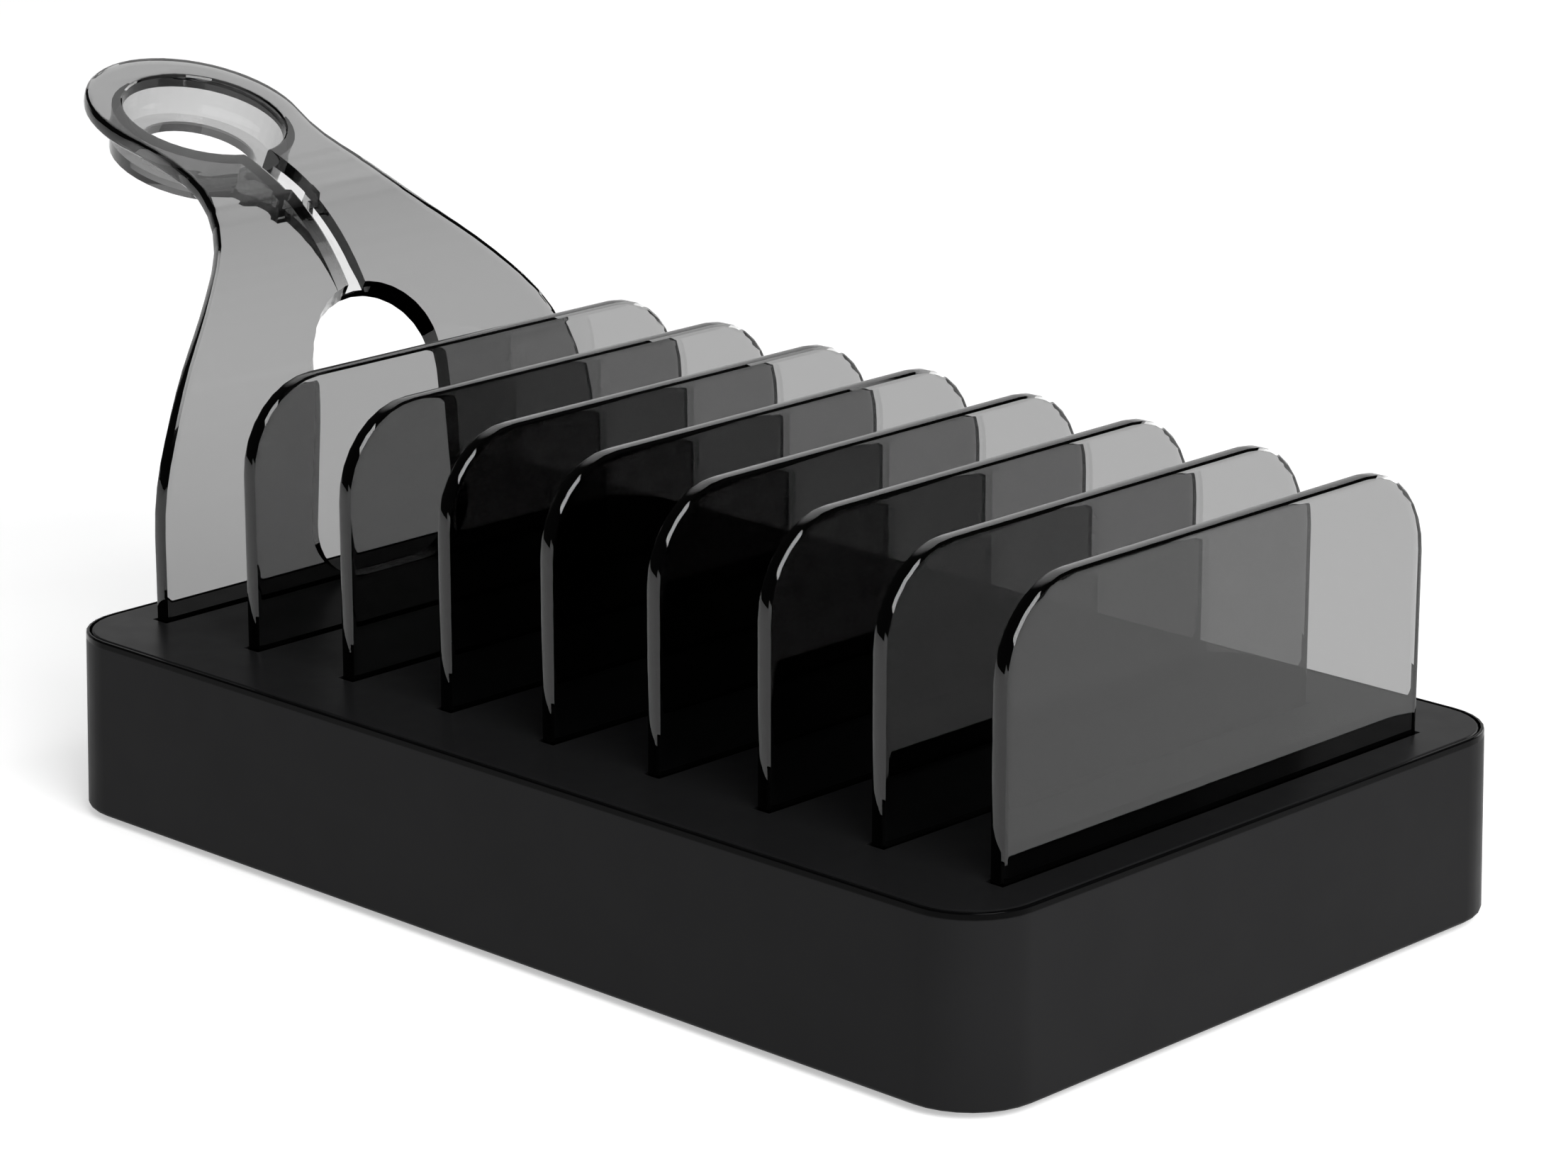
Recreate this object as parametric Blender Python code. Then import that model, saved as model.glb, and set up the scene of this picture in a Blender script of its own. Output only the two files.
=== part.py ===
"""USB charging station: a long base, eight clear dividers and a bent clear watch holder.

Metres, +Z up. The feet stand on z = 0, the dividers stand across X, and the row runs along X
with the watch holder at its -X end. The sockets are in the +Y side and the mains inlet in the
-X end. The pieces are modelled about the middle of the base, and then the housing, which
carries them all, is moved along X until the middle of the whole length is the origin.
"""

import math

import bmesh
import bpy
from mathutils import Matrix, Vector

# Fits and mesh detail. A seat or a running fit is a gap of FIT_GAP.
FIT_GAP = 0.0003
CUT_OVERRUN = 0.002
WELD_DISTANCE = 0.000001
CORNER_STEPS = 8
ROUND_STEPS = 3
ROUND_SIDES = 24
SMALL_SIDES = 12
CUP_SIDES = 40
BEND_STEPS = 16
SMOOTH_ANGLE = math.radians(35)
ROUNDING_ANGLE = math.radians(60)

# Housing
BASE_LENGTH = 0.190
BASE_WIDTH = 0.118
SHELL_HEIGHT = 0.028
CORNER_RADIUS = 0.0114
SIDE_DRAFT = 0.0006
BOTTOM_ROUND = 0.0008
RIM_ROUND = 0.0003
RIM_LAND = 0.0002
WALL_THICKNESS = 0.002
LEDGE_WIDTH = 0.002
LEDGE_THICKNESS = 0.002
BOSS_RADIUS = 0.004
BOSS_SINK = 0.0007

# Top plate
RIM_GROOVE = 0.0003
TOP_THICKNESS = 0.0024
TOP_EDGE_ROUND = 0.0004
SLEEVE_WALL = 0.0016
SLEEVE_FLOOR = 0.0012

# Dividers
DIVIDER_COUNT = 8
ROW_END_MARGIN = 0.0094
DIVIDER_SIDE_MARGIN = 0.0139
DIVIDER_THICKNESS = 0.0027
DIVIDER_RISE = 0.0409
DIVIDER_CORNER = 0.0137
DIVIDER_EDGE = 0.0009
TENON_DEPTH = 0.006
TENON_CORNER = 0.0015

# Watch holder: its plate, measured along the plate from the top of the base
HOLDER_THICKNESS = 0.0027
HOLDER_EDGE = 0.0009
STEM_RISE = 0.0258
BEND_RADIUS = 0.0367
BEND_ANGLE = math.radians(71)
CUP_REACH = 0.0164
SHOULDER_RISE = 0.0134
SLOPE_STEEPNESS_SHARE = 1.8683
NECK_WAIST = 0.002
NECK_RADIUS = 0.034
ARCH_RISE = 0.0454
ARCH_TOP_RADIUS = 0.0134
ARCH_FOOT_SPREAD = 0.0016
ARCH_FOOT_RADIUS = 0.009
ARCH_DRAW_ANGLE = math.radians(61.5)

# Watch holder: its cup and cable trough
CUP_RADIUS = 0.0125
CUP_FLARE = 0.0008
CUP_MOUTH_ROUND = 0.0007
CUP_DEPTH = 0.0066
CUP_FLOOR = 0.0018
CUP_WALL = 0.0016
CUP_OUTER_FLARE = 0.0009
CUP_LEDGE = 0.0028
RING_BRIM = 0.0033
RING_LEAD = 0.0017
CHANNEL_WIDTH = 0.0035
CHANNEL_WIDENING = 0.0019
CHANNEL_STEP_RUN = 0.0003
TROUGH_WALL = 0.0012
TROUGH_EASE = 1.35
TROUGH_STATIONS = 12
COLLAR_SETBACK = 0.0092
COLLAR_LENGTH = 0.002
COLLAR_RISE = 0.0004
COLLAR_DROP = 0.0022

# Bottom cover, feet and screws
COVER_THICKNESS = 0.0022
FOOT_RADIUS = 0.005
FOOT_RISE = 0.001
FOOT_SINK = 0.0008
FOOT_ROUND = 0.0004
FOOT_INSET = 0.0165
SCREW_HEAD_RADIUS = 0.0028
SCREW_HEAD_HEIGHT = 0.0009
SCREW_HEAD_ROUND = 0.0003
SCREW_SHANK_RADIUS = 0.0012
SCREW_LENGTH = 0.009
SCREW_CROSS_LENGTH = 0.0032
SCREW_CROSS_WIDTH = 0.0006
SCREW_CROSS_DEPTH = 0.0004

# Board and its parts
BOARD_THICKNESS = 0.0016
BOARD_CORNER = 0.003
BOARD_UNDER_SPACE = 0.004
BOARD_WALL_SPACE = 0.0006
BOARD_BACK_SPACE = 0.02
POST_RADIUS = 0.003
PEG_RADIUS = 0.0012
PEG_INSET = 0.012
PORT_WIDTH = 0.0131
PORT_HEIGHT = 0.0057
PORT_DEPTH = 0.014
PORT_METAL = 0.0004
PORT_INNER_CORNER = 0.0003
PORT_RECESS = 0.0004
TONGUE_THICKNESS = 0.0019
TONGUE_SIDE_SPACE = 0.0006
TONGUE_SETBACK = 0.002
TONGUE_ROOT_DEPTH = 0.003
INLET_HEADROOM = 0.0012
INLET_WIDTH_SHARE = 1.875
INLET_BODY_DEPTH = 0.016
INLET_CORNER = 0.002
INLET_WALL_SHARE = 0.116
INLET_SPACING_SHARE = 0.41
INLET_LOBE_SHARE = 0.86
INLET_CAVITY_DEPTH = 0.0125
PIN_RADIUS = 0.0012
PIN_SETBACK = 0.002
TRANSFORMER_INDEX = 2
CAPACITOR_INDEXES = (1, 4)
CORE_LENGTH = 0.022
CORE_WIDTH = 0.011
CORE_HEADROOM = 0.0019
CORE_YOKE_SHARE = 0.267
CORE_LEG = 0.0055
COIL_OVERHANG = 0.003
CAPACITOR_RADIUS = 0.005
CAPACITOR_HEADROOM = 0.006
CAPACITOR_ROUND = 0.0006
CAPACITOR_GROOVE = 0.0004

# Levels and places that follow from the sizes above
BOTTOM_Z = FOOT_RISE
TOP_Z = BOTTOM_Z + SHELL_HEIGHT
RIM_INSET = SIDE_DRAFT + RIM_ROUND + RIM_LAND
TOP_INSET = RIM_INSET + RIM_GROOVE
WALL_INSET = SIDE_DRAFT + WALL_THICKNESS
LEDGE_INSET = WALL_INSET + LEDGE_WIDTH
LEDGE_Z = TOP_Z - TOP_THICKNESS - FIT_GAP
COVER_INSET = WALL_INSET + FIT_GAP
COVER_TOP_Z = BOTTOM_Z + COVER_THICKNESS
BOSS_X = BASE_LENGTH / 2 - CORNER_RADIUS
BOSS_Y = BASE_WIDTH / 2 - CORNER_RADIUS
BOSS_SHIFT = (CORNER_RADIUS - WALL_INSET - BOSS_RADIUS + BOSS_SINK) * math.sqrt(0.5)
ROW_PITCH = (BASE_LENGTH - 2 * ROW_END_MARGIN) / DIVIDER_COUNT
DIVIDER_WIDTH = BASE_WIDTH - 2 * DIVIDER_SIDE_MARGIN
SLOT_DEPTH = TENON_DEPTH + FIT_GAP
BOARD_Z = COVER_TOP_Z + BOARD_UNDER_SPACE
BOARD_TOP_Z = BOARD_Z + BOARD_THICKNESS
BOARD_EDGE = WALL_INSET + BOARD_WALL_SPACE
SEAT_Z = BOARD_TOP_Z + FIT_GAP
SLEEVE_FOOT_Z = TOP_Z - SLOT_DEPTH - SLEEVE_FLOOR
INLET_BODY_HEIGHT = SLEEVE_FOOT_Z - INLET_HEADROOM - SEAT_Z
INLET_BODY_WIDTH = INLET_BODY_HEIGHT * INLET_WIDTH_SHARE
INLET_WALL = INLET_BODY_HEIGHT * INLET_WALL_SHARE
INLET_LOBE_SPACING = INLET_BODY_WIDTH * INLET_SPACING_SHARE
CORE_HEIGHT = SLEEVE_FOOT_Z - CORE_HEADROOM - SEAT_Z
CORE_YOKE = CORE_HEIGHT * CORE_YOKE_SHARE
CAPACITOR_HEIGHT = TOP_Z - TOP_THICKNESS - CAPACITOR_HEADROOM - SEAT_Z
HOLDER_X = -BASE_LENGTH / 2 + ROW_END_MARGIN
BEND_START_Z = TOP_Z + STEM_RISE
CUP_CENTRE_Z = BEND_START_Z + BEND_RADIUS * BEND_ANGLE + CUP_REACH
CUP_TOTAL_DEPTH = CUP_DEPTH + CUP_FLOOR
CUP_OUTER_RADIUS = CUP_RADIUS + CUP_WALL + CUP_OUTER_FLARE
RING_RADIUS = CUP_OUTER_RADIUS + RING_BRIM
CUP_CENTRE_ALONG = CUP_CENTRE_Z - TOP_Z
CUP_EDGE_ALONG = CUP_CENTRE_ALONG - CUP_OUTER_RADIUS
COLLAR_ALONG = CUP_EDGE_ALONG - COLLAR_SETBACK

# Colours: red, green, blue, alpha
BLACK_PLASTIC = ((0.012, 0.012, 0.013, 1.0), 0.4, 0.0)
BLACK_SATIN = ((0.010, 0.010, 0.011, 1.0), 0.3, 0.0)
SMOKED_CLEAR = ((0.30, 0.30, 0.31, 0.45), 0.08, 0.0)
RUBBER = ((0.02, 0.02, 0.02, 1.0), 0.8, 0.0)
STEEL = ((0.60, 0.60, 0.62, 1.0), 0.3, 1.0)
WHITE_PLASTIC = ((0.75, 0.75, 0.74, 1.0), 0.5, 0.0)
BOARD_GREEN = ((0.02, 0.10, 0.05, 1.0), 0.5, 0.0)
FERRITE = ((0.05, 0.05, 0.055, 1.0), 0.6, 0.0)
COIL_YELLOW = ((0.65, 0.48, 0.08, 1.0), 0.5, 0.0)
CAPACITOR_SLEEVE = ((0.03, 0.04, 0.10, 1.0), 0.4, 0.0)


def arc(centre, radius, start, end, steps):
    """Points on an arc, both ends included; angles turn from the first axis to the second."""
    turns = [start + (end - start) * i / steps for i in range(steps + 1)]
    return [(centre[0] + radius * math.cos(a), centre[1] + radius * math.sin(a)) for a in turns]


def rounded_rectangle(length, width, radius, steps=CORNER_STEPS):
    """A counter-clockwise rectangle about the origin with round corners."""
    across, along = length / 2 - radius, width / 2 - radius
    quarter = math.pi / 2
    points = []
    for turn, (side_x, side_y) in enumerate(((1, 1), (-1, 1), (-1, -1), (1, -1))):
        centre = (side_x * across, side_y * along)
        points += arc(centre, radius, turn * quarter, (turn + 1) * quarter, steps)
    return points


def offset_loop(loop, distance):
    """The loop moved to its left by a distance, with mitred corners."""
    moved = []
    for i, point in enumerate(loop):
        here = Vector(point)
        before = (here - Vector(loop[i - 1])).normalized()
        after = (Vector(loop[(i + 1) % len(loop)]) - here).normalized()
        mitre = Vector((-before.y - after.y, before.x + after.x)).normalized()
        reach = distance / mitre.dot(Vector((-after.y, after.x)))
        moved.append(tuple(here + mitre * reach))
    return moved


def edge_profile(thickness, near_round, far_round):
    """(inset, depth) pairs down the edge of a slab whose two rims are rounded."""
    profile = []
    if near_round:
        near = arc((near_round, near_round), near_round, 1.5 * math.pi, math.pi, ROUND_STEPS)
        profile += near
    else:
        profile.append((0.0, 0.0))
    if far_round:
        centre = (far_round, thickness - far_round)
        profile += arc(centre, far_round, math.pi, math.pi / 2, ROUND_STEPS)
    else:
        profile.append((0.0, thickness))
    return profile


def bridge(bm, lower, upper):
    """Quads between two closed rings of as many points."""
    for i in range(len(lower)):
        after = (i + 1) % len(lower)
        bm.faces.new((lower[i], lower[after], upper[after], upper[i]))


def ring(bm, points):
    return [bm.verts.new(point) for point in points]


def fill(bm, verts):
    """Triangles across a flat ring."""
    edges = []
    for i, vert in enumerate(verts):
        edges.append(bm.edges.get((vert, verts[(i + 1) % len(verts)])))
    bmesh.ops.triangle_fill(bm, use_beauty=True, use_dissolve=False, edges=edges)


def slab(bm, loop, profile, place):
    """A plate with rounded rims; place(u, v, depth) gives a corner's position."""
    rows = []
    for inset, depth in profile:
        rows.append(ring(bm, [place(u, v, depth) for u, v in offset_loop(loop, inset)]))
    for lower, upper in zip(rows, rows[1:]):
        bridge(bm, lower, upper)
    fill(bm, rows[0])
    fill(bm, rows[-1])


def flat_slab(bm, loop, top, bottom, near_round=0.0, far_round=0.0):
    """A level plate; its rims are rounded at the top and at the bottom."""
    profile = edge_profile(top - bottom, near_round, far_round)
    slab(bm, loop, profile, lambda x, y, depth: (x, y, top - depth))


def loft(bm, rings, closed=False):
    """A skin through rings of as many points, closed on itself or capped at both ends."""
    rows = [ring(bm, points) for points in rings]
    for lower, upper in zip(rows, rows[1:]):
        bridge(bm, lower, upper)
    if closed:
        bridge(bm, rows[-1], rows[0])
    else:
        bm.faces.new(rows[0])
        bm.faces.new(rows[-1])


def box(bm, low, high):
    """A box between two corners."""
    corners = [(low[0], low[1]), (high[0], low[1]), (high[0], high[1]), (low[0], high[1])]
    loft(bm, [[(x, y, z) for x, y in corners] for z in (low[2], high[2])])


def turned(bm, profile, centre, sides=ROUND_SIDES):
    """A solid turned about a vertical axis; the profile is (radius, z) from cap to cap."""
    full = 2 * math.pi
    rings = []
    for radius, z in profile:
        circle = arc(centre, radius, 0.0, full - full / sides, sides - 1)
        rings.append([(x, y, z) for x, y in circle])
    loft(bm, rings)


def mesh_from(name, build):
    """A mesh made by a function that draws into a bmesh, with its faces turned outward."""
    bm = bmesh.new()
    build(bm)
    bmesh.ops.remove_doubles(bm, verts=bm.verts, dist=WELD_DISTANCE)
    bmesh.ops.recalc_face_normals(bm, faces=bm.faces)
    mesh = bpy.data.meshes.new(name)
    bm.to_mesh(mesh)
    bm.free()
    return mesh


def boolean(mesh, operation, build, name):
    """The mesh joined with, or cut by, the solid that a function draws."""
    body = bpy.data.objects.new(name, mesh)
    tool = bpy.data.objects.new(name + "_tool", mesh_from(name + "_tool", build))
    for helper in (body, tool):
        bpy.context.scene.collection.objects.link(helper)
    modifier = body.modifiers.new(operation.title(), "BOOLEAN")
    modifier.operation = operation
    modifier.solver = "EXACT"
    modifier.object = tool
    graph = bpy.context.evaluated_depsgraph_get()
    result = bpy.data.meshes.new_from_object(body.evaluated_get(graph))
    for helper in (body, tool):
        bpy.data.objects.remove(helper)
    return result


def finish(mesh):
    """Welds what a Boolean left apart and turns the faces outward."""
    bm = bmesh.new()
    bm.from_mesh(mesh)
    bmesh.ops.remove_doubles(bm, verts=bm.verts, dist=WELD_DISTANCE)
    bmesh.ops.recalc_face_normals(bm, faces=bm.faces)
    bm.to_mesh(mesh)
    bm.free()


def material(name, finish_values):
    colour, roughness, metallic = finish_values
    made = bpy.data.materials.new(name)
    made.use_nodes = True
    shader = made.node_tree.nodes["Principled BSDF"]
    shader.inputs["Base Color"].default_value = (*colour[:3], 1.0)
    shader.inputs["Alpha"].default_value = colour[3]
    shader.inputs["Roughness"].default_value = roughness
    shader.inputs["Metallic"].default_value = metallic
    return made


def node(name, mesh, finish_values, location=(0.0, 0.0, 0.0), parent=None, edges=()):
    """One named piece, with its own material and smooth shading."""
    obj = bpy.data.objects.new(name, mesh)
    obj.location = location
    bpy.context.scene.collection.objects.link(obj)
    if not mesh.materials:
        mesh.materials.append(None)
    obj.material_slots[0].link = "OBJECT"
    obj.material_slots[0].material = material(name, finish_values)
    for width, angle in edges:
        rounding = obj.modifiers.new("Rounding", "BEVEL")
        rounding.width = width
        rounding.segments = ROUND_STEPS
        rounding.limit_method = "ANGLE"
        rounding.angle_limit = angle
    mesh.shade_smooth()
    mesh.set_sharp_from_angle(angle=SMOOTH_ANGLE)
    if parent:
        obj.parent = parent
    return obj


def base_loop(inset):
    """The base's plan outline, moved in by an inset."""
    length, width = BASE_LENGTH - 2 * inset, BASE_WIDTH - 2 * inset
    return rounded_rectangle(length, width, CORNER_RADIUS - inset)


def corner_places(x, y):
    return [(side_x * x, side_y * y) for side_x, side_y in ((-1, -1), (1, -1), (1, 1), (-1, 1))]


def screw_places():
    return corner_places(BOSS_X + BOSS_SHIFT, BOSS_Y + BOSS_SHIFT)


def foot_places():
    return corner_places(BASE_LENGTH / 2 - FOOT_INSET, BASE_WIDTH / 2 - FOOT_INSET)


def slot_x(index):
    """The place of a slot; 0 is the watch holder's and the rest are the dividers'."""
    return (index - DIVIDER_COUNT / 2) * ROW_PITCH


def port_x(index):
    """Each socket sits between two dividers."""
    return (slot_x(index) + slot_x(index + 1)) / 2


def port_centre_z():
    return SEAT_Z + PORT_HEIGHT / 2


def inlet_centre_z():
    return SEAT_Z + INLET_BODY_HEIGHT / 2


def outer_inset(z):
    """How far the drafted side has moved in at a height."""
    return SIDE_DRAFT * (z - BOTTOM_Z) / SHELL_HEIGHT


def shell_mesh():
    """The housing: a drafted wall with a rounded rim, a ledge for the top plate and bosses."""
    quarter = math.pi / 2
    outline = arc((BOTTOM_ROUND, BOTTOM_Z + BOTTOM_ROUND), BOTTOM_ROUND, 3 * quarter, 2 * quarter,
                  ROUND_STEPS)
    rim_centre = (SIDE_DRAFT + RIM_ROUND, TOP_Z - RIM_ROUND)
    outline += arc(rim_centre, RIM_ROUND, 2 * quarter, quarter, ROUND_STEPS)
    ledge_foot = LEDGE_Z - LEDGE_THICKNESS
    outline += [(RIM_INSET, TOP_Z), (RIM_INSET, LEDGE_Z), (LEDGE_INSET, LEDGE_Z)]
    outline += [(LEDGE_INSET, ledge_foot), (WALL_INSET, ledge_foot - LEDGE_WIDTH)]
    outline += [(WALL_INSET, BOTTOM_Z)]

    def wall(bm):
        rings = [[(x, y, z) for x, y in base_loop(inset)] for inset, z in outline]
        loft(bm, rings, closed=True)

    def bosses(bm):
        for place in screw_places():
            foot, head = COVER_TOP_Z + FIT_GAP, LEDGE_Z - LEDGE_THICKNESS / 2
            turned(bm, [(BOSS_RADIUS, foot), (BOSS_RADIUS, head)], place, SMALL_SIDES)

    def cuts(bm):
        reach = SCREW_LENGTH + COVER_THICKNESS
        for place in screw_places():
            low, high = COVER_TOP_Z, COVER_TOP_Z + reach
            hole = SCREW_SHANK_RADIUS + FIT_GAP
            turned(bm, [(hole, low), (hole, high)], place, SMALL_SIDES)
        for index in range(1, DIVIDER_COUNT):
            half = PORT_WIDTH / 2 + FIT_GAP
            rise = PORT_HEIGHT / 2 + FIT_GAP
            low = (port_x(index) - half, BASE_WIDTH / 2 - LEDGE_INSET, port_centre_z() - rise)
            high = (port_x(index) + half, BASE_WIDTH / 2 + CUT_OVERRUN, port_centre_z() + rise)
            box(bm, low, high)
        half = INLET_BODY_WIDTH / 2 + FIT_GAP
        rise = INLET_BODY_HEIGHT / 2 + FIT_GAP
        low = (-BASE_LENGTH / 2 - CUT_OVERRUN, -half, inlet_centre_z() - rise)
        high = (-BASE_LENGTH / 2 + LEDGE_INSET, half, inlet_centre_z() + rise)
        box(bm, low, high)

    mesh = mesh_from("housing_shell", wall)
    mesh = boolean(mesh, "UNION", bosses, "bosses")
    return boolean(mesh, "DIFFERENCE", cuts, "windows")


def top_plate_mesh():
    """The inset top with nine slots, each with a closed sleeve below that holds a tenon."""
    slot_half = DIVIDER_THICKNESS / 2 + FIT_GAP
    slot_reach = DIVIDER_WIDTH / 2 + FIT_GAP
    plate_foot = TOP_Z - TOP_THICKNESS
    pocket_z = TOP_Z - SLOT_DEPTH

    def slot_boxes(bm, margin, low_z, high_z):
        for index in range(DIVIDER_COUNT + 1):
            across, along = slot_half + margin, slot_reach + margin
            x = slot_x(index)
            box(bm, (x - across, -along, low_z), (x + across, along, high_z))

    def plate(bm):
        flat_slab(bm, base_loop(TOP_INSET), TOP_Z, plate_foot, near_round=TOP_EDGE_ROUND)

    def sleeves(bm):
        slot_boxes(bm, SLEEVE_WALL, SLEEVE_FOOT_Z, TOP_Z - TOP_THICKNESS / 2)

    def slots(bm):
        slot_boxes(bm, 0.0, pocket_z, TOP_Z + CUT_OVERRUN)

    mesh = boolean(mesh_from("top_plate", plate), "UNION", sleeves, "sleeves")
    return boolean(mesh, "DIFFERENCE", slots, "slots")


def divider_mesh():
    """A flat plate with two large top corners; its foot is a tenon as wide as the plate."""
    half = DIVIDER_WIDTH / 2
    quarter = math.pi / 2
    top_corner = (half - DIVIDER_CORNER, DIVIDER_RISE - DIVIDER_CORNER)
    foot_corner = (half - TENON_CORNER, TENON_CORNER - TENON_DEPTH)
    side = arc(foot_corner, TENON_CORNER, -quarter, 0.0, ROUND_STEPS)
    side += arc(top_corner, DIVIDER_CORNER, 0.0, quarter, CORNER_STEPS)
    loop = side + [(-y, z) for y, z in reversed(side)]

    def plate(bm):
        rings = [[(x, y, z) for y, z in loop]
                 for x in (-DIVIDER_THICKNESS / 2, DIVIDER_THICKNESS / 2)]
        loft(bm, rings)

    return mesh_from("divider", plate)


def tangent_angle(start, end, reach):
    """The turn of the normal n, from +v to +u, for which (end - start) . n is the reach."""
    across, along = end[0] - start[0], end[1] - start[1]
    return math.atan2(across, along) - math.acos(reach / math.hypot(across, along))


def holder_outline():
    """The unbent holder's outline as (along the plate, half width), from foot to ring.

    A straight foot turns over a shoulder into a slope, and a hollow arc leads into the ring.
    """
    foot_half = DIVIDER_WIDTH / 2
    rise = CUP_CENTRE_ALONG + RING_LEAD
    neck_half = RING_RADIUS - NECK_WAIST
    hollow_v = neck_half + NECK_RADIUS
    lead = math.sqrt((NECK_RADIUS + RING_RADIUS) ** 2 - hollow_v**2)
    hollow = (rise - lead, hollow_v)
    across, along = hollow[0] - SHOULDER_RISE, hollow[1] - foot_half
    slope = math.atan(SLOPE_STEEPNESS_SHARE * (foot_half - neck_half) / across)
    sine, cosine = math.sin(slope), math.cos(slope)
    shoulder_radius = (across * sine + along * cosine - NECK_RADIUS) / (1 - cosine)
    shoulder = (SHOULDER_RISE, foot_half - shoulder_radius)
    ring_turn = math.atan2(hollow_v, -lead)
    half = math.pi / 2
    foot_corner = (TENON_CORNER - TENON_DEPTH, foot_half - TENON_CORNER)
    side = arc(foot_corner, TENON_CORNER, math.pi, half, ROUND_STEPS)
    side += arc(shoulder, shoulder_radius, half, half - slope, CORNER_STEPS)
    slope_end = -half - slope
    side += arc(hollow, NECK_RADIUS, slope_end, ring_turn - math.pi, CORNER_STEPS)
    side += arc((rise, 0.0), RING_RADIUS, ring_turn, 0.0, 2 * CORNER_STEPS)[1:]
    return side[:-1] + [(rise + RING_RADIUS, 0.0)] + [(s, -y) for s, y in reversed(side[:-1])]


def arch_drop(along, depth):
    """How far the arch's wall has sunk toward the foot at a depth below the front face.

    The upper arch is cut along one straight line of draw, and its legs square to the plate.
    """
    turn = min(max(along - STEM_RISE, 0.0) / BEND_RADIUS, BEND_ANGLE)
    legs = STEM_RISE - ARCH_FOOT_RADIUS
    share = min(max((along - ARCH_FOOT_RADIUS) / legs, 0.0), 1.0)
    return depth * math.tan(ARCH_DRAW_ANGLE - turn) * share


def arch_outline():
    """The arch through the unbent holder's front face as (along the plate, half width)."""
    top = (ARCH_RISE - ARCH_TOP_RADIUS, 0.0)
    foot = (ARCH_FOOT_RADIUS, ARCH_TOP_RADIUS + ARCH_FOOT_SPREAD - ARCH_FOOT_RADIUS)
    lean = tangent_angle(foot, top, ARCH_FOOT_RADIUS - ARCH_TOP_RADIUS)
    half = math.pi / 2
    side = arc(foot, ARCH_FOOT_RADIUS, math.pi, half - lean, CORNER_STEPS)
    side += arc(top, ARCH_TOP_RADIUS, half - lean, 0.0, CORNER_STEPS)
    return side[:-1] + [(ARCH_RISE, 0.0)] + [(s, -y) for s, y in reversed(side[:-1])]


def holder_place(along, across, depth):
    """A corner of the unbent holder, which stands upright in the first slot."""
    return (HOLDER_X + HOLDER_THICKNESS / 2 - depth, across, TOP_Z + along)


def trough_depth(along):
    """How deep the cable trough reaches below the front face, along the plate."""
    start = ARCH_RISE - arch_drop(ARCH_RISE, HOLDER_THICKNESS)
    share = (along - start) / (CUP_EDGE_ALONG - start)
    eased = min(abs(share) ** TROUGH_EASE, 1.0)
    return HOLDER_THICKNESS + (CUP_TOTAL_DEPTH - HOLDER_THICKNESS) * math.copysign(eased, share)


def trough_loft(bm, start, end, widen, near, floor):
    """A square-sided bar along the plate, wider from the collar on.

    The near and floor values are the bar's two depths, and widen its wall.
    """
    places = [start + (end - start) * i / TROUGH_STATIONS for i in range(TROUGH_STATIONS + 1)]
    places += [COLLAR_ALONG, COLLAR_ALONG + CHANNEL_STEP_RUN]
    rings = []
    for along in sorted(places):
        share = min(max((along - COLLAR_ALONG) / CHANNEL_STEP_RUN, 0.0), 1.0)
        half = (CHANNEL_WIDTH + CHANNEL_WIDENING * share) / 2 + widen
        depth = trough_depth(along) - floor
        corners = ((-half, near), (half, near), (half, depth), (-half, depth))
        rings.append([holder_place(along, y, d) for y, d in corners])
    loft(bm, rings)


def cup_turned(bm, profile):
    """A solid turned about the cup's axis in the unbent holder; the profile is (radius, depth)."""
    full = 2 * math.pi
    centre = (CUP_CENTRE_ALONG, 0.0)
    rings = []
    for radius, depth in profile:
        circle = arc(centre, radius, 0.0, full - full / CUP_SIDES, CUP_SIDES - 1)
        rings.append([holder_place(s, y, depth) for s, y in circle])
    loft(bm, rings)


def bent(point):
    """Where a point of the unbent holder goes: up the stem, round the bend, along the arm."""
    offset = point.x - HOLDER_X
    travel = max(point.z - BEND_START_Z, 0.0)
    turn = min(travel / BEND_RADIUS, BEND_ANGLE)
    beyond = travel - turn * BEND_RADIUS
    sine, cosine = math.sin(turn), math.cos(turn)
    x = HOLDER_X - BEND_RADIUS * (1 - cosine) + offset * cosine - beyond * sine
    z = min(point.z, BEND_START_Z) + BEND_RADIUS * sine + offset * sine + beyond * cosine
    return Vector((x, point.y, z))


def bend_holder(mesh):
    """Cuts the flat holder into bands across the bend and turns each band with it."""
    bm = bmesh.new()
    bm.from_mesh(mesh)
    for i in range(BEND_STEPS + 1):
        level = BEND_START_Z + BEND_RADIUS * BEND_ANGLE * i / BEND_STEPS
        geometry = bm.verts[:] + bm.edges[:] + bm.faces[:]
        bmesh.ops.bisect_plane(bm, geom=geometry, dist=WELD_DISTANCE,
                               plane_co=(0.0, 0.0, level), plane_no=(0.0, 0.0, 1.0))
    bmesh.ops.triangulate(bm, faces=bm.faces)
    for vert in bm.verts:
        vert.co = bent(vert.co)
    bm.to_mesh(mesh)
    bm.free()


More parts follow.
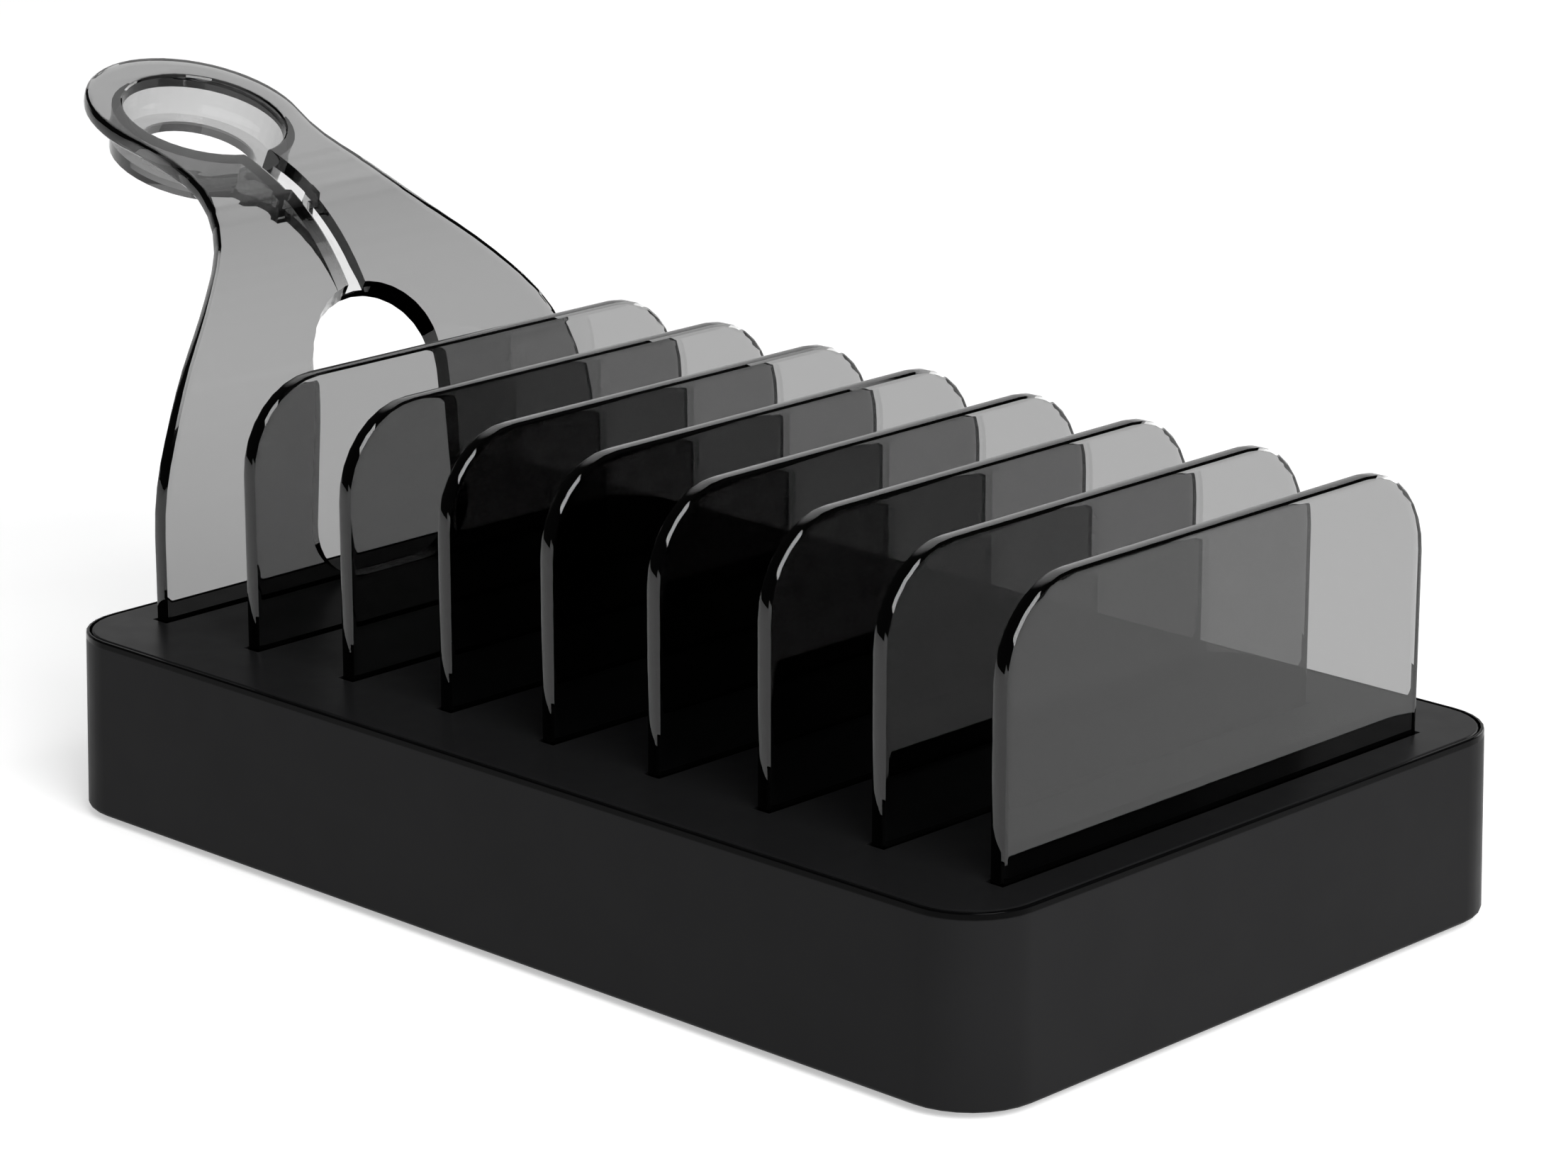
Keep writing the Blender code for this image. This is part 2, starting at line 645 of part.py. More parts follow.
def holder_mesh():
    """The watch holder: a flat blank with its arch, cup and trough, bent as one piece."""
    quarter = math.pi / 2
    inner_start = HOLDER_THICKNESS / 2
    trough_start = ARCH_RISE - arch_drop(ARCH_RISE, HOLDER_THICKNESS + CUT_OVERRUN / 2)
    flare = CUP_OUTER_FLARE / (CUP_TOTAL_DEPTH - HOLDER_THICKNESS)
    root_radius = CUP_OUTER_RADIUS + flare * inner_start
    lip = arc((CUP_RADIUS + CUP_FLARE + CUP_MOUTH_ROUND, CUP_MOUTH_ROUND), CUP_MOUTH_ROUND,
              -quarter, -2 * quarter, ROUND_STEPS)

    def plate(bm):
        profile = edge_profile(HOLDER_THICKNESS, HOLDER_EDGE, HOLDER_EDGE)
        slab(bm, list(reversed(holder_outline())), profile, holder_place)

    def cup(bm):
        foot = (CUP_RADIUS + CUP_WALL, CUP_TOTAL_DEPTH)
        cup_turned(bm, [(root_radius, inner_start), foot])

    def trough(bm):
        end = CUP_EDGE_ALONG + CUP_WALL
        trough_loft(bm, trough_start, end, TROUGH_WALL, inner_start, 0.0)

    def collar(bm):
        half = (CHANNEL_WIDTH + CHANNEL_WIDENING) / 2 + TROUGH_WALL + COLLAR_RISE
        rings = []
        for along in (COLLAR_ALONG, COLLAR_ALONG + COLLAR_LENGTH):
            foot = along - COLLAR_DROP
            depth = trough_depth(foot) + COLLAR_RISE
            near = [holder_place(along, y, inner_start) for y in (-half, half)]
            rings.append(near + [holder_place(foot, y, depth) for y in (half, -half)])
        loft(bm, rings)

    def recess(bm):
        mouth = [(lip[0][0], -CUT_OVERRUN)] + lip
        cup_turned(bm, mouth + [(CUP_RADIUS, CUP_DEPTH)])

    def hole(bm):
        radius = CUP_RADIUS - CUP_LEDGE
        ends = (CUP_DEPTH - CUP_FLOOR, CUP_TOTAL_DEPTH + CUT_OVERRUN)
        cup_turned(bm, [(radius, depth) for depth in ends])

    def channel(bm):
        end = CUP_CENTRE_ALONG - CUP_RADIUS + CUP_LEDGE / 2
        trough_loft(bm, trough_start, end, 0.0, -CUT_OVERRUN, TROUGH_WALL)

    def arch(bm):
        depths = (-CUT_OVERRUN, HOLDER_THICKNESS + CUT_OVERRUN)
        loft(bm, [[holder_place(s - arch_drop(s, depth), y, depth) for s, y in arch_outline()]
                  for depth in depths])

    mesh = mesh_from("watch_holder", plate)
    for operation, build in (("UNION", cup), ("UNION", trough), ("UNION", collar),
                             ("DIFFERENCE", recess), ("DIFFERENCE", hole),
                             ("DIFFERENCE", channel), ("DIFFERENCE", arch)):
        mesh = boolean(mesh, operation, build, build.__name__)
    finish(mesh)
    bend_holder(mesh)
    return mesh


def cover_mesh():
    """The bottom cover with posts for the board, and seats for the feet and the screws."""
    def plate(bm):
        flat_slab(bm, base_loop(COVER_INSET), COVER_TOP_Z, BOTTOM_Z)

    def posts(bm):
        for place in peg_places():
            shoulder = BOARD_Z - FIT_GAP
            tip = BOARD_TOP_Z + BOARD_THICKNESS / 2
            root = COVER_TOP_Z - COVER_THICKNESS / 2
            profile = [(POST_RADIUS, root), (POST_RADIUS, shoulder)]
            profile += [(PEG_RADIUS, shoulder), (PEG_RADIUS, tip)]
            turned(bm, profile, place, SMALL_SIDES)

    def cuts(bm):
        under = BOTTOM_Z - CUT_OVERRUN
        for place in foot_places():
            radius = FOOT_RADIUS + FIT_GAP
            turned(bm, [(radius, under), (radius, BOTTOM_Z + FOOT_SINK)], place)
        for place in screw_places():
            seat, clear = SCREW_HEAD_RADIUS + FIT_GAP, SCREW_SHANK_RADIUS + FIT_GAP
            shelf = BOTTOM_Z + SCREW_HEAD_HEIGHT + FIT_GAP
            profile = [(seat, under), (seat, shelf), (clear, shelf)]
            turned(bm, profile + [(clear, COVER_TOP_Z + CUT_OVERRUN)], place, SMALL_SIDES)

    mesh = boolean(mesh_from("bottom_cover", plate), "UNION", posts, "posts")
    return boolean(mesh, "DIFFERENCE", cuts, "cuts")


def board_span():
    """The board's edges as x and y limits: the back edge keeps clear of the plain side."""
    x = BASE_LENGTH / 2 - BOARD_EDGE
    far = BASE_WIDTH / 2 - BOARD_EDGE
    return (-x, x), (-BASE_WIDTH / 2 + BOARD_BACK_SPACE, far)


def peg_places():
    (low_x, high_x), (low_y, high_y) = board_span()
    xs = (low_x + 2 * PEG_INSET, high_x - 2 * PEG_INSET)
    ys = (low_y + PEG_INSET, high_y - 2 * PEG_INSET)
    return [(x, y) for x in xs for y in ys]


def board_mesh():
    """The board: round corners, notches round the two rear bosses and holes for the pegs."""
    (low_x, high_x), (low_y, high_y) = board_span()
    middle = ((low_x + high_x) / 2, (low_y + high_y) / 2)

    def plate(bm):
        corners = rounded_rectangle(high_x - low_x, high_y - low_y, BOARD_CORNER, ROUND_STEPS)
        loop = [(middle[0] + x, middle[1] + y) for x, y in corners]
        flat_slab(bm, loop, BOARD_TOP_Z, BOARD_Z)

    def cuts(bm):
        low, high = BOARD_Z - CUT_OVERRUN, BOARD_TOP_Z + CUT_OVERRUN
        for x, y in screw_places()[2:]:
            reach = BOSS_RADIUS + BOARD_WALL_SPACE
            side = math.copysign(1, x)
            inner, outer = x - side * reach, x + side * (reach + CORNER_RADIUS)
            box(bm, (min(inner, outer), y - reach, low),
                (max(inner, outer), y + reach + CORNER_RADIUS, high))
        for place in peg_places():
            radius = PEG_RADIUS + FIT_GAP
            turned(bm, [(radius, low), (radius, high)], place, SMALL_SIDES)

    return boolean(mesh_from("main_board", plate), "DIFFERENCE", cuts, "cuts")


def port_mesh():
    """A socket's folded metal shell, open to the front; its origin is at the mouth's centre."""
    def shell(bm):
        outer_corner = PORT_INNER_CORNER + PORT_METAL
        outer = rounded_rectangle(PORT_WIDTH, PORT_HEIGHT, outer_corner, ROUND_STEPS)
        inner = rounded_rectangle(PORT_WIDTH - 2 * PORT_METAL, PORT_HEIGHT - 2 * PORT_METAL,
                                  PORT_INNER_CORNER, ROUND_STEPS)
        stations = ((outer, -PORT_DEPTH), (outer, 0.0), (inner, 0.0),
                    (inner, PORT_METAL - PORT_DEPTH))
        loft(bm, [[(x, y, z) for x, z in loop] for loop, y in stations])

    return mesh_from("usb_port", shell)


def tongue_mesh():
    """A socket's insulator: a root that fills the back of the shell, and the contact tongue."""
    width = PORT_WIDTH - 2 * PORT_METAL - 2 * FIT_GAP
    height = PORT_HEIGHT - 2 * PORT_METAL - 2 * FIT_GAP
    back = PORT_METAL + FIT_GAP - PORT_DEPTH
    root = back + TONGUE_ROOT_DEPTH
    lip = height / 2
    tongue_half = width / 2 - TONGUE_SIDE_SPACE

    def block(bm):
        box(bm, (-width / 2, back, -lip), (width / 2, root, lip))

    def blade(bm):
        box(bm, (-tongue_half, root - TONGUE_ROOT_DEPTH / 2, 0.0),
            (tongue_half, -TONGUE_SETBACK, TONGUE_THICKNESS))

    return boolean(mesh_from("usb_tongue", block), "UNION", blade, "blade")


def lobes(margin):
    """The inlet's figure-eight outline as (y, z), smaller by a margin."""
    radius = INLET_BODY_HEIGHT / 2 - INLET_WALL - margin
    half = INLET_LOBE_SPACING / 2
    waist = math.acos(half * INLET_LOBE_SHARE / radius)
    right = arc((half * INLET_LOBE_SHARE, 0.0), radius, waist - math.pi, math.pi - waist,
                2 * CORNER_STEPS)
    return right[:-1] + [(-y, -z) for y, z in right[:-1]]


def inlet_mesh():
    """The mains inlet: a moulded block with a figure-eight cavity that opens to -X."""
    mouth = -BASE_LENGTH / 2 + outer_inset(inlet_centre_z()) + PORT_RECESS
    centre_z = inlet_centre_z()

    def block(bm):
        loop = rounded_rectangle(INLET_BODY_WIDTH, INLET_BODY_HEIGHT, INLET_CORNER, ROUND_STEPS)
        loft(bm, [[(x, y, centre_z + z) for y, z in loop]
                  for x in (mouth, mouth + INLET_BODY_DEPTH)])

    def cavity(bm):
        loop = lobes(0.0)
        loft(bm, [[(x, y, centre_z + z) for y, z in loop]
                  for x in (mouth - CUT_OVERRUN, mouth + INLET_CAVITY_DEPTH)])

    def pin_holes(bm):
        for side in (-1, 1):
            pin_along_x(bm, PIN_RADIUS + FIT_GAP, mouth + INLET_CAVITY_DEPTH - CUT_OVERRUN,
                        mouth + INLET_BODY_DEPTH + CUT_OVERRUN, side)

    mesh = boolean(mesh_from("ac_inlet", block), "DIFFERENCE", cavity, "cavity")
    return boolean(mesh, "DIFFERENCE", pin_holes, "pin_holes")


def pin_along_x(bm, radius, start, end, side, tip=0.0):
    """A round bar along X on one side of the inlet's middle, with a chamfered near tip."""
    full = 2 * math.pi
    centre = (side * INLET_LOBE_SPACING / 2, inlet_centre_z())
    stations = [(radius - tip, start), (radius, start + tip), (radius, end)]
    rings = []
    for size, x in stations if tip else stations[1:]:
        circle = arc(centre, size, 0.0, full - full / SMALL_SIDES, SMALL_SIDES - 1)
        rings.append([(x, y, z) for y, z in circle])
    loft(bm, rings)


def pin_mesh(side):
    """One contact pin of the inlet, which passes through the back of its cavity."""
    mouth = -BASE_LENGTH / 2 + outer_inset(inlet_centre_z()) + PORT_RECESS

    def pin(bm):
        pin_along_x(bm, PIN_RADIUS, mouth + PIN_SETBACK, mouth + INLET_BODY_DEPTH, side,
                    PIN_RADIUS / 2)

    return mesh_from("ac_pin", pin)


def foot_mesh():
    """A round rubber foot, set into the cover."""
    def foot(bm):
        top = FOOT_RISE + FOOT_SINK - FIT_GAP
        profile = [(FOOT_RADIUS - FOOT_ROUND, 0.0), (FOOT_RADIUS, FOOT_ROUND)]
        turned(bm, profile + [(FOOT_RADIUS, top)], (0.0, 0.0))

    return mesh_from("foot", foot)


def screw_mesh():
    """A pan-head screw with a cross recess, driven up from below; its origin is on its head."""
    def body(bm):
        head = SCREW_HEAD_HEIGHT
        profile = [(SCREW_HEAD_RADIUS - SCREW_HEAD_ROUND, 0.0)]
        profile += [(SCREW_HEAD_RADIUS, SCREW_HEAD_ROUND), (SCREW_HEAD_RADIUS, head)]
        profile += [(SCREW_SHANK_RADIUS, head), (SCREW_SHANK_RADIUS, head + SCREW_LENGTH)]
        turned(bm, profile, (0.0, 0.0), SMALL_SIDES)

    def recess(bm):
        reach, half = SCREW_CROSS_LENGTH / 2, SCREW_CROSS_WIDTH / 2
        cross = []
        for turn in range(4):
            turned_arm = Matrix.Rotation(turn * math.pi / 2, 2)
            cross += [turned_arm @ Vector(p) for p in ((reach, -half), (reach, half), (half, half))]
        loft(bm, [[(x, y, z) for x, y in cross] for z in (-CUT_OVERRUN, SCREW_CROSS_DEPTH)])

    return boolean(mesh_from("screw", body), "DIFFERENCE", recess, "recess")


def transformer_meshes():
    """A core of two yokes and three legs, and the coil wound on its middle leg."""
    half_length, half_width = CORE_LENGTH / 2, CORE_WIDTH / 2
    leg_half = CORE_LEG / 2
    window_out = half_length - CORE_YOKE

    def core(bm):
        box(bm, (-half_length, -half_width, 0.0), (half_length, half_width, CORE_HEIGHT))

    def windows(bm):
        for side in (-1, 1):
            low, high = sorted((side * leg_half, side * window_out))
            box(bm, (low, -half_width - CUT_OVERRUN, CORE_YOKE),
                (high, half_width + CUT_OVERRUN, CORE_HEIGHT - CORE_YOKE))

    def coil(bm):
        out = window_out - FIT_GAP
        reach = half_width + COIL_OVERHANG
        low, high = CORE_YOKE + FIT_GAP, CORE_HEIGHT - CORE_YOKE - FIT_GAP
        outer = rounded_rectangle(2 * out, 2 * reach, COIL_OVERHANG, ROUND_STEPS)
        gap = leg_half + FIT_GAP
        inner = rounded_rectangle(2 * gap, 2 * (half_width + FIT_GAP), FIT_GAP, ROUND_STEPS)
        stations = ((outer, low), (outer, high), (inner, high), (inner, low))
        loft(bm, [[(x, y, z) for x, y in loop] for loop, z in stations], closed=True)

    cut_core = boolean(mesh_from("transformer_core", core), "DIFFERENCE", windows, "windows")
    return cut_core, mesh_from("transformer_coil", coil)


def capacitor_mesh():
    """A standing can with a rolled groove near its foot and a rounded top edge."""
    def can(bm):
        groove_z = CAPACITOR_RADIUS / 2
        lip, top = CAPACITOR_GROOVE, CAPACITOR_HEIGHT
        profile = [(CAPACITOR_RADIUS, 0.0), (CAPACITOR_RADIUS, groove_z - lip)]
        profile += [(CAPACITOR_RADIUS - lip, groove_z), (CAPACITOR_RADIUS, groove_z + lip)]
        profile += [(CAPACITOR_RADIUS, top - CAPACITOR_ROUND)]
        profile += [(CAPACITOR_RADIUS - CAPACITOR_ROUND, top)]
        turned(bm, profile, (0.0, 0.0))

    return mesh_from("capacitor", can)


def build_base():
    """The housing, its top and cover, and what fastens and carries them."""
    shell = node("housing_shell", shell_mesh(), BLACK_PLASTIC)
    node("top_plate", top_plate_mesh(), BLACK_SATIN, parent=shell)
    node("bottom_cover", cover_mesh(), BLACK_PLASTIC, parent=shell)
    foot, screw = foot_mesh(), screw_mesh()
    for number, (x, y) in enumerate(foot_places(), 1):
        node(f"foot_{number}", foot, RUBBER, (x, y, 0.0), shell)
    for number, (x, y) in enumerate(screw_places(), 1):
        node(f"screw_{number}", screw, STEEL, (x, y, BOTTOM_Z), shell)
    return shell


def build_electrics(shell):
    """The board with its sockets, inlet, transformer and capacitors."""
    node("main_board", board_mesh(), BOARD_GREEN, parent=shell)
    port, tongue = port_mesh(), tongue_mesh()
    mouth = BASE_WIDTH / 2 - outer_inset(port_centre_z()) - PORT_RECESS
    for number in range(1, DIVIDER_COUNT):
        place = (port_x(number), mouth, port_centre_z())
        node(f"usb_port_{number}", port, STEEL, place, shell)
        node(f"usb_tongue_{number}", tongue, WHITE_PLASTIC, place, shell)
    node("ac_inlet", inlet_mesh(), BLACK_PLASTIC, parent=shell)
    for number, side in enumerate((-1, 1), 1):
        node(f"ac_pin_{number}", pin_mesh(side), STEEL, parent=shell)
    core, coil = transformer_meshes()
    place = (port_x(TRANSFORMER_INDEX), 0.0, SEAT_Z)
    node("transformer_core", core, FERRITE, place, shell)
    node("transformer_coil", coil, COIL_YELLOW, place, shell)
    capacitor = capacitor_mesh()
    for number, index in enumerate(CAPACITOR_INDEXES, 1):
        place = (port_x(index), 0.0, SEAT_Z)
        node(f"capacitor_{number}", capacitor, CAPACITOR_SLEEVE, place, shell)


def build_plates(shell):
    """The dividers and the watch holder, which lift straight out of their slots."""
    plate = divider_mesh()
    rounding = [(DIVIDER_EDGE, ROUNDING_ANGLE)]
    for number in range(1, DIVIDER_COUNT + 1):
        place = (slot_x(number), 0.0, TOP_Z)
        node(f"divider_{number}", plate, SMOKED_CLEAR, place, shell, rounding)
    mesh = holder_mesh()
    origin = Vector((HOLDER_X, 0.0, TOP_Z))
    mesh.transform(Matrix.Translation(-origin))
    return node("watch_holder", mesh, SMOKED_CLEAR, origin, shell)


def centre_length(shell, holder):
    """Moves the housing, and all it carries, so that the whole length is centred on x = 0."""
    tip = HOLDER_X + min(vert.co.x for vert in holder.data.vertices)
    shell.location.x = -(tip + BASE_LENGTH / 2) / 2


def main():
    for obj in list(bpy.data.objects):
        bpy.data.objects.remove(obj)
    shell = build_base()
    build_electrics(shell)
    holder = build_plates(shell)
    centre_length(shell, holder)


main()
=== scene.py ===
"""The look of the USB charging station: its finishes, its contacts and springs, and the studio.

Every CAD piece keeps its shape and gets a procedural finish. The sockets gain the gold contact
strips and the leaf springs that their plain shells leave out. Lengths are in metres.
"""

import logging
import math
from dataclasses import dataclass, field
from enum import Enum
from typing import Iterable, Protocol, Sequence

import bpy
from mathutils import Matrix, Vector


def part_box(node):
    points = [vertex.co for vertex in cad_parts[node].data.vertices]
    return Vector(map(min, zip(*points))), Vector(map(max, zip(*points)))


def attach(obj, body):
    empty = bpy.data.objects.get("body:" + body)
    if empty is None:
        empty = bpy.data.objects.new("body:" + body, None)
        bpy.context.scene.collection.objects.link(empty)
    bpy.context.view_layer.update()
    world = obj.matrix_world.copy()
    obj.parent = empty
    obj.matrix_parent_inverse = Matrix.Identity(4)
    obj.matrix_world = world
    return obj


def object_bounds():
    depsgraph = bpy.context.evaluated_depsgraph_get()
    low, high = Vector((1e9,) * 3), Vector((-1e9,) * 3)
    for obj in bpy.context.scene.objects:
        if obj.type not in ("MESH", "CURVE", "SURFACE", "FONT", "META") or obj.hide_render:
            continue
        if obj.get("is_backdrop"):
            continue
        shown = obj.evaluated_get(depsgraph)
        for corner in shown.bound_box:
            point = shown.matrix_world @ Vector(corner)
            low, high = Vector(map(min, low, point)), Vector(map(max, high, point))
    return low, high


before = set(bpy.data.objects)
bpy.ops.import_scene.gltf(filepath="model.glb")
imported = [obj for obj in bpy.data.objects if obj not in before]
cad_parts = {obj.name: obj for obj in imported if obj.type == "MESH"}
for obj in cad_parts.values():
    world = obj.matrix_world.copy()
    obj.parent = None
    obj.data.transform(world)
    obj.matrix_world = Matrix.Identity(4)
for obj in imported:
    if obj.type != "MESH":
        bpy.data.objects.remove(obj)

LOG = logging.getLogger("charging_station")
# The bend from which an edge of a moulded piece stays sharp.
MOULDED_EDGE = math.radians(32.0)

Colour = tuple[float, float, float]
Point = tuple[float, float, float]
Range = tuple[float, float]
WHITE: Colour = (1.0, 1.0, 1.0)
BLACK: Colour = (0.0, 0.0, 0.0)


class Body(Enum):
    """The bodies of the frame that a new piece can ride on."""

    BASE = "base"


class Slot(Enum):
    """Material slot names of the record; nothing in this script uses them."""

    STEEL = "steel"
    BRASS = "coil"


class Axis(Enum):
    """An axis of the object, as its place in a vector."""

    X = 0
    Y = 1
    Z = 2


def reckon(tree: bpy.types.NodeTree, operation: str, first: bpy.types.NodeSocket | float,
           second: bpy.types.NodeSocket | float = 0.0) -> bpy.types.NodeSocket:
    """Adds a Math node to a tree.

    Args:
        tree: The tree of a material, of the world or of a modifier.
        operation: The node's operation.
        first: An output or a number.
        second: An output or a number.

    Returns:
        The node's result.
    """
    made = tree.nodes.new("ShaderNodeMath")
    made.operation = operation
    for socket, value in zip(made.inputs, (first, second)):
        if isinstance(value, bpy.types.NodeSocket):
            tree.links.new(value, socket)
        else:
            socket.default_value = value
    return made.outputs[0]


def eased(tree: bpy.types.NodeTree, value: bpy.types.NodeSocket, start: float, end: float
          ) -> bpy.types.NodeSocket:
    """Adds a Map Range node that eases a value from 0 at the start to 1 at the end.

    Args:
        tree: The tree of a material or of the world.
        value: The value.
        start: Where the result leaves 0.
        end: Where it reaches 1.

    Returns:
        The node's result.
    """
    made = tree.nodes.new("ShaderNodeMapRange")
    made.interpolation_type = "SMOOTHSTEP"
    made.inputs["From Min"].default_value = start
    made.inputs["From Max"].default_value = end
    tree.links.new(value, made.inputs["Value"])
    return made.outputs["Result"]


class Graph:
    """The node tree of one material, with short ways to add the nodes that finishes share."""

    def __init__(self, name: str) -> None:
        """Makes a material and keeps hold of its shader, its output and its coordinates.

        Args:
            name: The material's name.
        """
        self.material = bpy.data.materials.new(name)
        self.material.use_nodes = True
        self.tree = self.material.node_tree
        self.shader = self.tree.nodes["Principled BSDF"]
        self.output = self.tree.nodes["Material Output"]
        self.place = self.tree.nodes.new("ShaderNodeTexCoord").outputs["Object"]

    def set(self, **values: object) -> None:
        """Sets sockets of the shader; an underscore in a name stands for a space."""
        for name, value in values.items():
            self.shader.inputs[name.replace("_", " ")].default_value = value

    def link(self, source: bpy.types.NodeSocket, target: bpy.types.NodeSocket) -> None:
        """Joins an output to an input."""
        self.tree.links.new(source, target)

    def feed(self, name: str, source: bpy.types.NodeSocket) -> None:
        """Joins an output to a socket of the shader."""
        self.link(source, self.shader.inputs[name])

    def math(self, operation: str, first: bpy.types.NodeSocket | float,
             second: bpy.types.NodeSocket | float = 0.0) -> bpy.types.NodeSocket:
        """Adds a Math node.

        Args:
            operation: The node's operation.
            first: An output or a number.
            second: An output or a number.

        Returns:
            The node's result.
        """
        return reckon(self.tree, operation, first, second)

    def along(self, axis: Axis) -> bpy.types.NodeSocket:
        """The object's coordinate along one axis.

        Args:
            axis: The axis.

        Returns:
            The coordinate.
        """
        split = self.tree.nodes.new("ShaderNodeSeparateXYZ")
        self.link(self.place, split.inputs["Vector"])
        return split.outputs[axis.name]

    def stretched(self, scale: Point) -> bpy.types.NodeSocket:
        """The object's coordinates, scaled by a Mapping node.

        Args:
            scale: The scale along each axis.

        Returns:
            The mapped coordinates.
        """
        mapping = self.tree.nodes.new("ShaderNodeMapping")
        mapping.inputs["Scale"].default_value = scale
        self.link(self.place, mapping.inputs["Vector"])
        return mapping.outputs["Vector"]

    def noise(self, size: float, detail: float = 2.0, stretch: Point = (1.0, 1.0, 1.0)
              ) -> bpy.types.NodeSocket:
        """Noise with blots of about a given size.

        Args:
            size: The width of a blot, in metres.
            detail: The octaves of finer noise.
            stretch: How much finer the noise is along each axis.

        Returns:
            The noise, from 0 to 1.
        """
        made = self.tree.nodes.new("ShaderNodeTexNoise")
        made.inputs["Scale"].default_value = 1.0 / size
        made.inputs["Detail"].default_value = detail
        self.link(self.stretched(stretch), made.inputs["Vector"])
        return made.outputs["Fac"]

    def spread(self, source: bpy.types.NodeSocket, low: float, high: float,
               start: float = 0.3, end: float = 0.7) -> bpy.types.NodeSocket:
        """A value brought from one range to another.

        Args:
            source: The value.
            low: What the start of the range becomes.
            high: What the end of the range becomes.
            start: The start of the range.
            end: The end of the range.

        Returns:
            The new value.
        """
        made = self.tree.nodes.new("ShaderNodeMapRange")
        for name, value in (("From Min", start), ("From Max", end), ("To Min", low),
                            ("To Max", high)):
            made.inputs[name].default_value = value
        self.link(source, made.inputs["Value"])
        return made.outputs["Result"]

    def blend(self, factor: bpy.types.NodeSocket, first: bpy.types.NodeSocket | Colour,
              second: Colour) -> bpy.types.NodeSocket:
        """A colour between two colours.

        Args:
            factor: How far it is toward the second.
            first: The colour at 0, plain or from other nodes.
            second: The colour at 1.

        Returns:
            The mixed colour.
        """
        made = self.tree.nodes.new("ShaderNodeMix")
        made.data_type = "RGBA"
        self.link(factor, made.inputs["Factor"])
        if isinstance(first, bpy.types.NodeSocket):
            self.link(first, made.inputs["A"])
        else:
            made.inputs["A"].default_value = (*first, 1.0)
        made.inputs["B"].default_value = (*second, 1.0)
        return made.outputs["Result"]

    def bump(self, height: bpy.types.NodeSocket, depth: float) -> None:
        """Feeds a relief to the shader's normal.

        Args:
            height: The relief, from 0 to 1.
            depth: Its height in metres.
        """
        made = self.tree.nodes.new("ShaderNodeBump")
        made.inputs["Distance"].default_value = depth
        self.link(height, made.inputs["Height"])
        self.feed("Normal", made.outputs["Normal"])


def shade(colour: Colour, share: float) -> Colour:
    """The colour made lighter or darker by a share."""
    return (colour[0] * share, colour[1] * share, colour[2] * share)


class Finish(Protocol):
    """What every finish has: a name, and a way to make its material."""

    name: str

    def build(self) -> bpy.types.Material:
        """Makes the material."""


@dataclass(frozen=True, kw_only=True)
class MouldedPlastic:
    """Opaque moulded plastic with a fine spark-eroded grain.

    Attributes:
        name: The material's name.
        colour: The plastic's colour.
        roughness: Its middle roughness.
        gloss: Its specular level.
        grain: The width of a grain.
        relief: The height of the grain.
        mottle: The width of a blot where its colour drifts.
        drift: How far its colour drifts, as a share of it.
        patch: The width of a patch that is rubbed smoother or left rougher.
        wear: How far the roughness of a patch is from the middle.
    """

    name: str
    colour: Colour
    roughness: float
    gloss: float
    grain: float
    relief: float
    mottle: float = 0.02
    drift: float = 0.12
    patch: float = 0.006
    wear: float = 0.03

    def coloured(self, graph: Graph) -> bpy.types.NodeSocket:
        """The plastic's colour, which drifts slowly.

        Args:
            graph: The material's graph.

        Returns:
            The colour.
        """
        blots = graph.noise(self.mottle, detail=3.0)
        return graph.blend(blots, shade(self.colour, 1.0 - self.drift),
                           shade(self.colour, 1.0 + self.drift))

    def rubbed(self, graph: Graph) -> bpy.types.NodeSocket:
        """The plastic's roughness, uneven where hands rub it.

        Args:
            graph: The material's graph.

        Returns:
            The roughness.
        """
        patches = graph.noise(self.patch, detail=4.0)
        return graph.spread(patches, self.roughness - self.wear, self.roughness + self.wear)

    def build(self) -> bpy.types.Material:
        """Makes the material: mottled colour and roughness, and the grain as bump."""
        graph = Graph(self.name)
        graph.feed("Base Color", self.coloured(graph))
        graph.feed("Roughness", self.rubbed(graph))
        graph.set(Specular_IOR_Level=self.gloss)
        graph.bump(graph.noise(self.grain, detail=3.0), self.relief)
        return graph.material


@dataclass(frozen=True, kw_only=True)
class RimShadedPlastic(MouldedPlastic):
    """Moulded plastic with a darker band all round its top edge: the band's colour is painted
    shade for the dark reflection on the rounded edge and the shade of the groove, and its lower
    roughness is a real polish.

    Attributes:
        rim_start: The height where the band starts to fade in.
        rim_end: The height from which it is full.
        rim_painted_shade: Its colour, painted shade for the dark reflection and the groove's
            shade at the edge.
        rim_roughness: Its roughness.
    """

    rim_start: float
    rim_end: float
    rim_painted_shade: Colour
    rim_roughness: float

    def on_shaded_rim(self, graph: Graph) -> bpy.types.NodeSocket:
        """Whether a place is in the band, by its height.

        Args:
            graph: The material's graph.

        Returns:
            0 on the walls and 1 in the band.
        """
        return eased(graph.tree, graph.along(Axis.Z), self.rim_start, self.rim_end)

    def coloured(self, graph: Graph) -> bpy.types.NodeSocket:
        """The plastic's colour, and in the band the painted shade.

        Args:
            graph: The material's graph.

        Returns:
            The colour.
        """
        # Painted shade: the band is darkened to stand in for the dark reflection and the
        # groove's shade at the top edge.
        return graph.blend(self.on_shaded_rim(graph), super().coloured(graph), self.rim_painted_shade)

    def rubbed(self, graph: Graph) -> bpy.types.NodeSocket:
        """The plastic's roughness, less the polish of the band.

        Args:
            graph: The material's graph.

        Returns:
            The roughness.
        """
        polish = graph.math("MULTIPLY", self.on_shaded_rim(graph), self.roughness - self.rim_roughness)
        return graph.math("SUBTRACT", super().rubbed(graph), polish)


